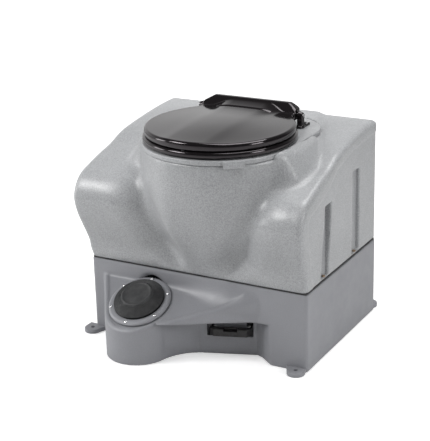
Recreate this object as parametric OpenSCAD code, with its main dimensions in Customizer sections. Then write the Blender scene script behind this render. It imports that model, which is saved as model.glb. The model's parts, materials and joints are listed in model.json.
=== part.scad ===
// Portable toilet: a waste tank with a foot pump, a fresh water housing, a bowl, a seat and a lid.
// The origin is the centre of the base's footprint on the floor; the front faces -Y and +Z is up.

/* [Base] */
// Width of the base
base_w = 568; // [480:1:640]
// Depth of the base from its front face to its rear face
base_d = 400; // [380:1:480]
// Height of the base up to the joint
base_h = 188; // [180:1:230]
// Thickness of every moulded wall
wall = 5; // [4:0.5:7]
// Radius of the upright corners of the base
corner_r = 8; // [6:1:30]

/* [Nose] */
// Place of the nose's round end, to the right of the middle
nose_x = -118; // [-130:1:-100]
// Reach of the nose's centre in front of the front face
nose_out = 66; // [50:1:90]
// Radius of the nose's round end
nose_r = 77; // [76:1:90]
// Left end of the nose's sloping deck, from the middle
tail_left = 250; // [240:1:265]
// Right end of the nose's sloping deck, from the middle
tail_right = 155; // [120:1:200]
// Slope of the deck, in degrees
deck_tilt = 26; // [18:1:30]
// Height of the deck where it meets the front face
deck_edge_z = 153; // [140:1:165]

/* [Toe recess] */
// Left end of the recess's back wall, to the right of the middle
recess_x = 13; // [5:1:25]
// Reach of that end in front of the front face
recess_out = 13; // [8:1:20]
// Length of the recess's back wall
recess_len = 137; // [128:1:150]
// Turn of the back wall away from the front face, in degrees
recess_turn = 19.6; // [15:0.1:24]
// Height of the recess
recess_h = 98; // [94:1:110]
// Right corner of the recess on the front face, from the middle
recess_right = 191; // [180:1:215]

/* [Ears] */
// Thickness of the bolt-down ears
ear_t = 10; // [6:1:16]
// Radius of an ear's round end
ear_r = 21; // [16:1:26]
// Radius of the hole in each ear
ear_hole_r = 5; // [3:0.5:7]
// Left ears' holes, from the middle
ear_left = 283; // [278:1:290]
// Right ears' holes, from the middle
ear_right = 263; // [250:1:270]
// Reach of the holes beyond the front and rear faces
ear_out = 14; // [10:1:20]

/* [Upper housing] */
// Height of the gap that the joint gasket fills
joint_gap = 3; // [2:0.5:5]
// Height of the shoulders at the rear wall, above the floor
shoulder_h = 481; // [475:1:488]
// Fall of the shoulders over the first 100 mm from the rear wall
shoulder_fall = 4.2; // [3.5:0.1:5]
// Height of the middle of the shoulder's roll
roll_z = 356; // [340:1:370]
// Reach of the roll in front of the front face
roll_out = 53; // [40:1:60]
// Radius of the top of the roll
roll_r = 50; // [35:1:60]
// Sideways swell of the housing at the roll
roll_swell = 11; // [0:1:16]
// Radius of the long edges between roof and sides
edge_r = 15; // [10:1:24]
// Width of the valley between the bell and the shoulders
valley_gap = 46; // [38:1:55]
// Lean of the valley walls beside the bell, in millimetres back for 100 mm up
valley_lean = 53; // [45:1:60]
// Height of the plateau that carries the bowl's deck plate
plateau_z = 495; // [490:1:500]
// Radius of the plateau
plateau_r = 196; // [192:1:202]
// Half width of the plateau at the rear wall
plateau_rear = 112; // [100:1:125]

/* [Bell and bowl] */
// Place of the bowl, to the right of the middle
bowl_x = 25; // [15:1:35]
// Place of the bowl behind the front face
bowl_back = 94; // [85:1:105]
// Radius of the bell where it meets the joint
bell_foot_r = 41; // [35:1:50]
// Radius of the bell under the deck plate
bell_top_r = 180; // [176:1:184]
// Place of the bell's foot behind the front face
bell_foot_back = 42; // [38:1:50]
// Radius of the round front of the deck plate
plate_r = 180; // [176:1:184]
// Reach of the deck plate behind the front face
plate_rear = 334; // [325:1:340]
// Radius of the deck plate's rear corners
plate_corner = 110; // [80:1:120]
// Height of the lip round the deck plate
lip_h = 12; // [11:1:18]
// Radius of the bowl's mouth
bowl_top_r = 140; // [130:1:144]
// Radius of the bowl's outlet
outlet_r = 48; // [44:1:52]
// Thickness of the bowl and its deck plate
bowl_wall = 3; // [2:0.5:4]

/* [Seat and lid] */
// Outer radius of the seat ring
seat_r = 177; // [172:1:180]
// Radius of the hole in the seat ring
seat_hole_r = 108; // [95:1:120]
// Thickness of the seat ring
seat_t = 13; // [10:1:16]
// Outer radius of the lid
lid_r = 173; // [168:1:177]
// Depth of the lid's rim
lid_rim = 15; // [12:1:18]
// Rise of the lid's crown above its rim
lid_crown = 7; // [3:1:10]
// Place of the hinge rod behind the front face
hinge_back = 246; // [244:1:252]
// Height of the hinge rod's axis
hinge_z = 525; // [524:0.5:528]
// Radius of the hinge rod
rod_r = 4; // [3:0.5:5]
// Half length of the hinge rod
rod_half = 139; // [138:1:144]
// Height of the top of the lid's ridge
ridge_z = 551; // [546:1:552]

/* [Foot pump] */
// Place of the pump, to the right of the middle
pump_x = -115; // [-122:1:-108]
// Reach of the pump's centre in front of the front face
pump_out = 59; // [52:1:66]
// Radius of the foot of the rubber bellows
bellows_r = 60; // [52:1:61]
// Radius of the flat button on the bellows
button_r = 35; // [28:1:42]
// Height of the button above the deck
button_h = 30; // [24:1:38]
// Stroke of the button
pump_stroke = 20; // [10:1:22]
// Radius of the clamping ring
pump_ring_r = 75; // [74:1:76]
// Radius of the circle of screws
pump_screw_pcd_r = 68.5; // [67:0.5:69]
// Number of screws round the pump
pump_screws_n = 6; // [4:1:8]

/* [Pedal and trap] */
// Length of the pedal
pedal_len = 98; // [97:1:110]
// Height of the pedal's face
pedal_h = 20; // [17:1:28]
// Height of the pedal's pivot above the floor
pivot_z = 64; // [58:1:70]
// Pivot behind the recess's back wall
pivot_in = 22; // [18:1:26]
// Radius of the pivot pins
pin_r = 4; // [3:0.5:5]
// Place of the arms, to either side of the pedal's middle
arm_x = 46; // [44:1:48]
// Radius of the trap flap
flap_r = 52; // [50:1:53]
// Depth of the flap's shaft below the upper housing
flap_drop = 15; // [14:1:19]
// Length of the flap's crank
crank_len = 16; // [12:1:18]
// Droop of the crank at rest, in degrees
crank_droop = 42; // [34:1:46]

/* [Fill cap] */
// Place of the filler, to the right of the middle
fill_x = -50; // [-60:1:-40]
// Place of the filler behind the front face
fill_back = 364; // [360:1:366]
// Radius of the filler cap
cap_r = 24; // [20:1:26]

/* [Hidden] */
$fn = 72;

half_w = base_w / 2;
front_y = -base_d / 2;
rear_y = base_d / 2;
housing_z = base_h + joint_gap;
flap_z = housing_z - flap_drop;
clearance = 0.3;
pin_gap = 0.1;
far = 900;

bowl_y = front_y + bowl_back;
plate_z = plateau_z;
lip_z = plate_z - lip_h;
lip_wall = 4;
pocket_gap = 1;
hinge_y = front_y + hinge_back;

// Rounded intersection and rounded union of two distances, with radius r.
function round_max(a, b, r) = min(max(a, b), -r) + norm([max(a + r, 0), max(b + r, 0)]);
function round_min(a, b, r) = max(min(a, b), r) - norm([max(r - a, 0), max(r - b, 0)]);
function ease(t) = let(c = min(max(t, 0), 1)) c * c * (3 - 2 * c);

// The housing's outer form as one field: below zero inside, zero on the skin.
valley_blend = 30;
wing_blend = 40;
valley_open = 0.9;
bell_blend = 34;
roof_blend = 30;
plateau_blend = 12;
plateau_back = 130;
foot_lean = 0.4;
bell_top_z = 470;
function roof_z(y) = shoulder_h - shoulder_fall * pow((rear_y - y) / 100, 2);
function roll_front(z) = front_y - 4 - (roll_out - 4) * ease((z - housing_z) / (roll_z - housing_z));
function edge_inset(x) =
    let(d = min(abs(x) - half_w + edge_r, edge_r))
    d <= 0 ? 0 : edge_r - sqrt(edge_r * edge_r - d * d);
function shoulder(y, z) = round_max(roll_front(z) - y, z - roof_z(y), roll_r);
function valley(y, z) =
    round_max(
        (front_y - 4 + (z - housing_z) * valley_lean / 100 - y) * cos(atan(valley_lean / 100)),
        z - roof_z(y),
        roof_blend
    );
function bell_r(z) =
    bell_foot_r + (bell_top_r - bell_foot_r)
    * sin(90 * min(max((z - housing_z) / (bell_top_z - housing_z), 0), 1));
function bell_y(z) =
    front_y + bell_foot_back + (bowl_back - bell_foot_back) * (z - housing_z) / (bell_top_z - housing_z);
plateau_y = front_y + plateau_back;
plateau_turn =
    atan2(rear_y - plateau_y, plateau_rear) - acos(plateau_r / norm([rear_y - plateau_y, plateau_rear]));
function plateau_plan(x, y) =
    let(dx = abs(x - bowl_x), dy = y - plateau_y)
    atan2(dy, dx) > plateau_turn
    ? dx * cos(plateau_turn) + dy * sin(plateau_turn) - plateau_r
    : norm([dx, dy]) - plateau_r;
plateau_lean = 27;
plateau_front = 22;
function plateau(x, y, z) =
    round_max(
        round_max(
            plateau_plan(x, y) * cos(plateau_lean) + (z - plateau_z) * sin(plateau_lean),
            z - plateau_z,
            8
        ),
        front_y + plateau_front - y,
        30
    );
function housing_field(x, y, z) =
    let(
        bell_at = norm([x - bowl_x, y - bell_y(z)]) - bell_r(z),
        flank = (valley_gap - bell_at - (y - roll_front(z)) * valley_open) / norm([1, valley_open]),
        wings = round_max(shoulder(y, z), flank, wing_blend),
        body = round_min(valley(y, z), wings, valley_blend) + edge_inset(x),
        funnel = round_min(body, round_max(bell_at, z - plateau_z, 6), bell_blend),
        whole = round_min(funnel, plateau(x, y, z), plateau_blend)
    )
    round_max(whole, front_y - 1 - foot_lean * (z - housing_z) - y, 8);
function hit(x, ray, low, high, level, steps) =
    let(t = (low + high) / 2)
    steps == 0 ? t
    : housing_field(x, ray[0] + t * ray[2], ray[1] + t * ray[3]) < level
    ? hit(x, ray, t, high, level, steps - 1)
    : hit(x, ray, low, t, level, steps - 1);

// Rays that find the skin: level ones up the front, a fan over the roll, upright ones on the roof.
fan_y = front_y + 170;
fan_z = 400;
rear_r = 8;
function skin_rays(low_z, front_n, roof_n, inset) = concat(
    [for (i = [0 : front_n]) [fan_y, low_z + (fan_z - low_z) * i / front_n, -1, 0]],
    [for (a = [1.5, 3, 5, 7.5, 11, 15, 20, 27, 36, 48, 64]) [fan_y, fan_z, -cos(a), sin(a)]],
    [for (i = [0 : roof_n])
        [fan_y + (rear_y - inset - rear_r - fan_y) * i / roof_n, fan_z, 0, 1]]
);
function swell(x, y, z) =
    sign(x) * roll_swell * ease((abs(x) - 150) / 110)
    * ease((z - housing_z) / (roll_z - housing_z)) * (1 - ease((y - front_y) / 300));
function swollen(p) = [p.x + swell(p.x, p.y, p.z), p.y, p.z];
// The inner skin lies deeper along the hollow creases, where its wider stations would cut through.
function hump(x, at, reach) = max(0, 1 - pow((x - at) / reach, 2));
function crease_fill(x) =
    5 * hump(x, bowl_x + plateau_r + 16, 45) + 4 * hump(x, bowl_x - plateau_r - 15, 32)
    + 3 * hump(x, bowl_x - 87, 45);
function skin_column(x, rays, low_z, inset) =
    let(
        level = inset > 0 ? -inset - crease_fill(x) : 0,
        skin = [for (r = rays)
            let(t = hit(x, r, 0, 400, level, 15)) [x, r[0] + t * r[2], r[1] + t * r[3]]],
        top = skin[len(skin) - 1].z,
        back = rear_y - inset
    )
    concat(
        skin,
        [
            [x, back - rear_r * (1 - sin(45)), top - rear_r * (1 - cos(45))],
            [x, back, top - rear_r],
            [x, back, low_z]
        ]
    );
function skin_stations(inset, n) =
    let(reach = half_w - inset, turn = half_w - edge_r)
    concat(
        [for (a = [90, 62, 34]) -turn - (reach - turn) * sin(a)],
        [for (i = [0 : n]) -turn + 2 * turn * i / n],
        [for (a = [34, 62, 90]) turn + (reach - turn) * sin(a)]
    );

// A closed solid of columns from left to right; rings of points close the two side walls.
module skin_solid(inset, low_z, across, front_n, roof_n) {
    rays = skin_rays(low_z, front_n, roof_n, inset);
    stations = skin_stations(inset, across);
    columns = [for (x = stations) skin_column(x, rays, low_z, inset)];
    rows = len(columns[0]);
    last = len(stations) - 1;
    shrink = [0.66, 0.3];
    hub = [fan_y + 60, (housing_z + shoulder_h) / 2];
    rings = [for (c = [0, last]) [for (s = shrink) [for (p = columns[c])
        swollen([p.x, hub.x + (p.y - hub.x) * s, hub.y + (p.z - hub.y) * s])]]];
    hubs = [for (c = [0, last]) [columns[c][0].x, hub.x, hub.y]];
    points = concat(
        [for (c = columns) for (p = c) swollen(p)],
        [for (r = rings[0]) for (p = r) p],
        [for (r = rings[1]) for (p = r) p],
        hubs
    );
    body_n = (last + 1) * rows;
    function at(c, r) = c * rows + r % rows;
    function ring(side, k, r) =
        k == 0 ? at(side * last, r) : body_n + (side * len(shrink) + k - 1) * rows + r % rows;
    hub_at = body_n + 2 * len(shrink) * rows;
    faces = concat(
        [for (c = [0 : last - 1]) for (r = [0 : rows - 1]) [at(c, r), at(c + 1, r + 1), at(c + 1, r)]],
        [for (c = [0 : last - 1]) for (r = [0 : rows - 1]) [at(c, r), at(c, r + 1), at(c + 1, r + 1)]],
        [for (k = [0 : len(shrink) - 1]) for (r = [0 : rows - 1]) each [
            [ring(0, k, r), ring(0, k + 1, r + 1), ring(0, k, r + 1)],
            [ring(0, k, r), ring(0, k + 1, r), ring(0, k + 1, r + 1)],
            [ring(1, k, r), ring(1, k, r + 1), ring(1, k + 1, r + 1)],
            [ring(1, k, r), ring(1, k + 1, r + 1), ring(1, k + 1, r)]
        ]],
        [for (r = [0 : rows - 1]) each [
            [ring(0, len(shrink), r), hub_at, ring(0, len(shrink), r + 1)],
            [ring(1, len(shrink), r + 1), hub_at + 1, ring(1, len(shrink), r)]
        ]]
    );
    polyhedron(points, faces, convexity = 10);
}

// The bowl's form: radius against height, from the mouth down to the outlet.
bowl_form = [
    [bowl_top_r, plate_z - 5], [bowl_top_r - 2, plate_z - 55], [bowl_top_r - 20, plate_z - 155],
    [bowl_top_r - 54, housing_z + 69], [outlet_r + 14, housing_z + 25], [outlet_r, housing_z + 15],
    [outlet_r, housing_z]
];
module bowl_body(extra, low_z) {
    n = len(bowl_form);
    translate([bowl_x, bowl_y, 0])
        rotate_extrude()
            polygon(concat(
                [[0, plate_z + lip_h], [bowl_form[0].x + extra, plate_z + lip_h]],
                [for (i = [0 : n - 2]) [bowl_form[i].x + extra, bowl_form[i].y]],
                [[outlet_r + extra, low_z], [0, low_z]]
            ));
}
module plate_outline(grow) {
    r = plate_r + grow;
    c = plate_corner + grow;
    square_y = plate_rear - bowl_back - plate_corner;
    translate([bowl_x, bowl_y]) {
        circle(r, $fn = 120);
        translate([-r, 0]) square([2 * r, square_y]);
        for (s = [-1, 1]) translate([s * (r - c), square_y]) circle(c, $fn = 96);
        translate([c - r, square_y]) square([2 * (r - c), c]);
    }
}

// Grooves in the sides: distance behind the front face, width and top of each.
grooves = [[80, 40, 371], [255, 42, 400]];
groove_depth = 10;
groove_foot = housing_z + 6;
module groove_cuts(grow) {
    for (side = [-1, 1])
        for (g = grooves)
            translate([side * half_w - groove_depth - grow, front_y + g[0] - grow, groove_foot - grow])
                cube([2 * (groove_depth + grow), g[1] + 2 * grow, g[2] + 2 * grow - groove_foot]);
}
screw_spots = [for (side = [-1, 1]) for (g = grooves)
    [side * (half_w - groove_depth / 2), front_y + g[0] + g[1] / 2]];
fill_y = front_y + fill_back;
fill_bore = cap_r - 6;
hose_r = 7;
chase_x = -115;
chase_half = 50;
chase_back = 58;
suction_at = [chase_x - 28, front_y + 42];
delivery_at = [chase_x + 28, front_y + 42];
spray_angle = 150;
spray_z = 438;
function spray_at(r) = [bowl_x + r * cos(spray_angle), bowl_y + r * sin(spray_angle), spray_z];

module tank_hollow() {
    difference() {
        skin_solid(wall, housing_z + wall, 22, 10, 5);
        bowl_body(bowl_wall + pocket_gap + wall, housing_z - 1, $fn = 48);
        translate([0, 0, lip_z - wall]) linear_extrude(far) plate_outline(pocket_gap + wall);
        translate([fill_x, fill_y, plateau_z - 20]) cylinder(h = far, r = cap_r + wall);
        groove_cuts(wall);
    }
}
module upper_housing() {
    color("#a2a4a6")
        difference() {
            skin_solid(0, housing_z, 44, 14, 5);
            tank_hollow();
            bowl_body(bowl_wall + pocket_gap, housing_z - 1, $fn = 48);
            translate([0, 0, lip_z]) linear_extrude(far) plate_outline(pocket_gap);
            translate([fill_x, fill_y, plateau_z - 60]) cylinder(h = far, r = fill_bore);
            translate([fill_x, fill_y, plateau_z - seal_deep]) cylinder(h = far, r = cap_r + clearance);
            groove_cuts(0);
            for (p = [suction_at, delivery_at])
                translate([p.x, p.y, housing_z - 1]) cylinder(h = wall + 2, r = hose_r + clearance);
            translate(spray_at(bowl_top_r - 10))
                rotate([0, 90, spray_angle]) cylinder(h = 24, r = nozzle_r + clearance);
            for (p = screw_spots)
                translate([p.x, p.y, housing_z - 1]) cylinder(h = 20, r = joint_screw_r + pin_gap);
            trap_screw_spots() translate([0, 0, housing_z - 1]) cylinder(h = wall + 2, r = 2.1);
        }
}

// The base: a box with a nose, a toe recess, ears and dry spaces for the pump and the pedal's rod.
function deck_z(back) = deck_edge_z + back * tan(deck_tilt);
nose_c = [nose_x, front_y - nose_out];
function tangent(p, side) =
    let(d = p - nose_c, a = atan2(d.y, d.x) + side * acos(nose_r / norm(d)))
    nose_c + (nose_r - 0.2) * [cos(a), sin(a)];
recess_u = [cos(recess_turn), sin(recess_turn)];
recess_v = [-sin(recess_turn), cos(recess_turn)];
back_left = [recess_x, front_y - recess_out];
back_right = back_left + recess_len * recess_u;
recess_corner = back_right + [15, -6];
cove_turn = 14;
cove_share = 0.55;
cove = let(
    a = nose_c + (nose_r - 0.5) * [cos(cove_turn), -sin(cove_turn)],
    d = back_left - a
) [for (t = [0 : 10 : 90])
    a + cove_share * [d.x * (1 - cos(t)), d.y * sin(t)] + (1 - cove_share) * d * t / 90];

module below_deck(drop) {
    translate([0, front_y, deck_edge_z])
        rotate([deck_tilt, 0, 0])
            translate([-far / 2, -far / 2, -far - drop])
                cube(far);
}
module base_outline(inset) {
    r = max(corner_r - inset, 2);
    w = half_w - inset;
    d = base_d / 2 - inset;
    for (x = [-1, 1]) for (y = [-1, 1]) translate([x * (w - r), y * (d - r)]) circle(r);
    translate([-w, r - d]) square([2 * w, 2 * (d - r)]);
    translate([r - w, -d]) square([2 * (w - r), 2 * d]);
}
module nose_plan_upper() {
    left = [-tail_left, front_y];
    right = [tail_right, front_y];
    translate(nose_c) circle(nose_r, $fn = 96);
    polygon([left + [0, wall], left, tangent(left, 1), tangent(right, -1), right, right + [0, wall]]);
}
module nose_plan_lower() {
    left = [-tail_left, front_y];
    translate(nose_c) circle(nose_r, $fn = 96);
    polygon([left + [0, wall], left, tangent(left, 1), nose_c, [nose_x, front_y + wall]]);
    polygon(concat(
        [[nose_x, front_y + wall], nose_c],
        cove,
        [
            back_left + recess_u * (recess_out + 2 * wall) / sin(recess_turn),
            back_left + [0, recess_out + 2 * wall]
        ]
    ));
}
module recess_plan(grow) {
    polygon([
        back_left + grow * (recess_v - recess_u),
        back_right + grow * (recess_v + 0.4 * recess_u),
        recess_corner + grow * [0.8, 0.8],
        [recess_right + 1.4 * grow, front_y],
        [recess_right + 1.4 * grow, front_y - 30],
        [recess_x - grow, front_y - 30]
    ]);
}

// The frame of the pedal and the trap: X along the pedal, Y into the base, from the pedal's middle.
pedal_mid = 78;
mech_at = back_left + pedal_mid * recess_u;
module mech() {
    translate([mech_at.x, mech_at.y, 0]) rotate([0, 0, recess_turn]) children();
}
bowl_in_mech = let(d = [bowl_x, bowl_y] - mech_at) [d * recess_u, d * recess_v];
shaft_in = bowl_in_mech.y - flap_r - 10;
arm_t = 4.6;
arm_gap = 2.4;
rear_arm = 40;
eye_r = 6;
slot_low = pivot_z - 18;
slot_high = pivot_z + 18;
chase_in = arm_x - arm_t / 2 - 8;
chase_out = arm_x + arm_t / 2 + arm_gap;
chase_deep = pivot_in + rear_arm + eye_r + 4;
chase_wall = 4;
pocket_out = 22;
pin_grip = 2.8;
pin_spans = [
    [chase_in - pin_grip, chase_out + pin_grip],
    [-chase_in - pocket_out - pin_grip, pin_grip - chase_in]
];
module pivot_rods(r) {
    mech()
        for (s = pin_spans)
            translate([s[0], pivot_in, pivot_z]) rotate([0, 90, 0]) cylinder(h = s[1] - s[0], r = r);
}
// A space along the pedal from a to b, with walls grown by g.
module pedal_space(a, b, deep, low, high, g) {
    mech() translate([a - g, -1, low - g]) cube([b - a + 2 * g, deep + 1 + g, high - low + 2 * g]);
}
module pedal_spaces(g) {
    pedal_space(chase_in, chase_out, chase_deep, slot_low, slot_high, g);
    mech()
        translate([chase_in - g, wall - g, slot_low - g])
            cube([chase_out - chase_in + 2 * g, chase_deep - wall + 2 * g, far]);
    pedal_space(-chase_in - pocket_out, -chase_in, pivot_in + eye_r + 4, slot_low, slot_high, g);
}
module pump_space() {
    translate([nose_x, nose_c.y, -1]) cylinder(h = far, r = nose_r - wall);
    translate([chase_x - chase_half + wall, nose_c.y, -1])
        cube([2 * (chase_half - wall), nose_out + chase_back - wall, far]);
}
module pump_frame() {
    translate([pump_x, front_y - pump_out, deck_z(-pump_out)]) rotate([deck_tilt, 0, 0]) children();
}
function pump_point(x, z) = [
    pump_x + x, front_y - pump_out - z * sin(deck_tilt), deck_z(-pump_out) + z * cos(deck_tilt)
];
module pump_screw_spots() {
    for (i = [0 : pump_screws_n - 1])
        rotate([0, 0, 30 + i * 360 / pump_screws_n]) translate([pump_screw_pcd_r, 0, 0]) children();
}
module ear_plan(x, side) {
    y = front_y - ear_out;
    root = front_y + corner_r;
    translate([x, y]) circle(ear_r);
    polygon([[x - ear_r, y], [x + ear_r, y], [x + ear_r + (side < 0 ? 12 : -4), root],
        [x - ear_r - (side < 0 ? 0 : 16), root]]);
}
module ears() {
    for (m = [0, 1])
        mirror([0, m, 0])
            for (e = [[-ear_left, -1], [ear_right, 1]])
                difference() {
                    linear_extrude(ear_t) ear_plan(e[0], e[1]);
                    translate([e[0], front_y - ear_out, -1]) cylinder(h = ear_t + 2, r = ear_hole_r);
                }
}
boss_h = 26;
module base_bosses() {
    for (p = screw_spots)
        translate([p.x - screw_boss / 2, p.y - screw_boss / 2, base_h - boss_h])
            cube([screw_boss, screw_boss, boss_h]);
}
screw_boss = 16;
joint_screw_r = 2;
module tank_space() {
    tail_x = nose_x + nose_r + 2 * wall;
    tail_end = tail_right - 30;
    tail = tangent([tail_right, front_y], -1);
    tail_slope = (tail.y - front_y) / (tail.x - tail_right);
    difference() {
        translate([0, 0, wall]) linear_extrude(far) base_outline(wall);
        translate([0, 0, -1]) linear_extrude(recess_h + wall + 1) recess_plan(wall);
        translate([chase_x - chase_half, front_y, -1]) cube([2 * chase_half, chase_back, far]);
        pedal_spaces(chase_wall);
        base_bosses();
    }
    intersection() {
        translate([0, 0, recess_h + wall])
            linear_extrude(far)
                polygon([
                    [tail_x, front_y + wall + 1],
                    [tail_x, front_y + tail_slope * (tail_x - tail_right) + 1.3 * wall],
                    [tail_end, front_y + tail_slope * (tail_end - tail_right) + 1.3 * wall],
                    [tail_end, front_y + wall + 1]
                ]);
        below_deck(wall);
    }
}
// Rims that carry the dry spaces' walls through the joint's gap, up to the upper housing's floor.
module space_collars() {
    intersection() {
        union() {
            translate([chase_x - chase_half, front_y, 0]) cube([2 * chase_half, chase_back, housing_z]);
            pedal_spaces(chase_wall);
        }
        translate([-half_w, front_y + wall + 1, base_h - 1])
            cube([base_w, base_d / 2, joint_gap + 1]);
    }
}
module base_housing() {
    color("#84888e") {
        difference() {
            union() {
                difference() {
                    union() {
                        linear_extrude(base_h) base_outline(0);
                        intersection() {
                            linear_extrude(recess_h + 1) nose_plan_lower();
                            below_deck(0);
                        }
                    }
                    translate([0, 0, -1]) linear_extrude(recess_h + 1) recess_plan(0);
                }
                intersection() {
                    translate([0, 0, recess_h]) linear_extrude(base_h) nose_plan_upper();
                    below_deck(0);
                }
                ears();
                space_collars();
            }
            tank_space();
            intersection() {
                pump_space();
                below_deck(wall);
            }
            translate([chase_x - chase_half + wall, front_y + wall, -1])
                cube([2 * (chase_half - wall), chase_back - 2 * wall, far]);
            pedal_spaces(0);
            pivot_rods(pin_r + pin_gap);
            mech()
                translate([chase_in - chase_wall - 1, shaft_in - pin_r - 1, flap_z - pin_r - 1])
                    cube([chase_wall + 2, 2 * pin_r + 2, far]);
            pump_frame() {
                translate([0, 0, -30]) cylinder(h = 60, r = cup_r + 1);
                pump_screw_spots() translate([0, 0, -30]) cylinder(h = 60, r = 2.2);
                translate([0, 0, -0.2]) cylinder(h = 60, r = pump_ring_r + clearance);
            }
            for (p = screw_spots)
                translate([p.x, p.y, base_h - boss_h + 4]) cylinder(h = boss_h, r = joint_screw_r + pin_gap);
        }
    }
}
gasket_inset = 1.5;
module joint_gasket() {
    color("#1d1e20")
        translate([0, 0, base_h])
            linear_extrude(joint_gap)
                difference() {
                    base_outline(gasket_inset);
                    difference() {
                        base_outline(wall);
                        for (p = screw_spots) translate([p.x, p.y]) circle(3 * joint_screw_r);
                    }
                    for (p = screw_spots) translate([p.x, p.y]) circle(joint_screw_r + pin_gap);
                }
}
joint_head = 4;
module joint_screws() {
    color("#8a7f72")
        for (p = screw_spots)
            translate([p.x, p.y, 0]) {
                translate([0, 0, groove_foot]) cylinder(h = 3, r = joint_head);
                translate([0, 0, groove_foot - 22]) cylinder(h = 23, r = joint_screw_r);
            }
}

// The bowl, its lip clip and the seat.
nozzle_r = 6;
hinge_foot = [14, 50, 5];
post_x = 131;
bolt_back = 26;
bolt_r = 3;
bolt_deep = 11;
module bolt_spots() {
    for (s = [-1, 1]) translate([bowl_x + s * post_x, hinge_y + bolt_back, 0]) children();
}
module bowl() {
    color("#a2a4a6")
        difference() {
            union() {
                intersection() {
                    bowl_body(bowl_wall, housing_z);
                    translate([-far / 2, -far / 2, 0]) cube([far, far, plate_z]);
                }
                translate([0, 0, plate_z - 5]) linear_extrude(5) plate_outline(0);
                translate([0, 0, lip_z])
                    difference() {
                        linear_extrude(lip_h) plate_outline(0);
                        translate([0, 0, -1]) linear_extrude(lip_h) plate_outline(-lip_wall);
                    }
            }
            bowl_body(0, housing_z - 1);
            bolt_spots() translate([0, 0, plate_z - 10]) cylinder(h = 20, r = bolt_r + pin_gap);
            translate(spray_at(bowl_top_r - 20))
                rotate([0, 90, spray_angle]) cylinder(h = 34, r = nozzle_r + clearance);
        }
}
clip_turn = -52.5;
clip_w = 48;
clip_drop = 5;
module lip_clip() {
    color("#9b9da0")
        translate([bowl_x, bowl_y, 0])
            rotate([90, 0, clip_turn])
                translate([plate_r, 0, -clip_w / 2])
                    linear_extrude(clip_w)
                        polygon([
                            [clearance, lip_z + 2], [clearance, plate_z - 1], [4.5, plate_z - 1],
                            [6.5, plate_z - 4], [6.5, lip_z - clip_drop], [3.2, lip_z - clip_drop],
                            [3.2, lip_z]
                        ]);
}
seat_lift = 4;
seat_z = plate_z + seat_lift;
chord_y = hinge_y - 13;
lug_r = 8;
lug_t = 12;
seat_lug_x = 82;
lid_lug_x = 116;
module rod_bore(r) {
    translate([bowl_x, hinge_y, hinge_z]) rotate([0, 90, 0]) cylinder(h = 3 * rod_half, r = r, center = true);
}
// A lug at x that carries the rod: a side outline drawn about the rod's axis.
module hinge_lug(x, thick, outline) {
    translate([bowl_x + x - thick / 2, hinge_y, hinge_z]) {
        rotate([90, 0, 90]) linear_extrude(thick) polygon(outline);
        rotate([0, 90, 0]) cylinder(h = thick, r = lug_r);
    }
}
module front_of_chord() {
    translate([-far / 2, chord_y - far, 0]) cube(far);
}
module seat_ring() {
    low = seat_z - hinge_z;
    color("#18181a")
        difference() {
            union() {
                intersection() {
                    translate([bowl_x, bowl_y, seat_z])
                        rotate_extrude($fn = 120)
                            polygon([
                                [seat_hole_r + 3, 0], [seat_r - 3, 0], [seat_r, 3], [seat_r, seat_t - 4],
                                [seat_r - 4, seat_t], [seat_hole_r + 14, seat_t],
                                [seat_hole_r + 4, seat_t - 3], [seat_hole_r, seat_t - 8], [seat_hole_r, 3]
                            ]);
                    front_of_chord();
                }
                for (s = [-1, 1])
                    hinge_lug(s * seat_lug_x, lug_t, [
                        [-36, low], [-8, low], [6, -5], [-5, 6], [-36, low + seat_t]
                    ]);
            }
            rod_bore(rod_r + pin_gap);
        }
}
bumper_r = 8;
module seat_bumpers() {
    color("#232325")
        for (a = [20, 160, 215, 325])
            translate([
                bowl_x + (plate_r - 20) * cos(a), bowl_y + (plate_r - 20) * sin(a), plate_z + 0.2
            ])
                cylinder(h = seat_lift - 0.2, r = bumper_r);
}
lid_gap = 2;
lid_z = seat_z + seat_t + lid_gap;
lid_skin = 3.5;
lid_top = lid_z + lid_rim;
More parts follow.
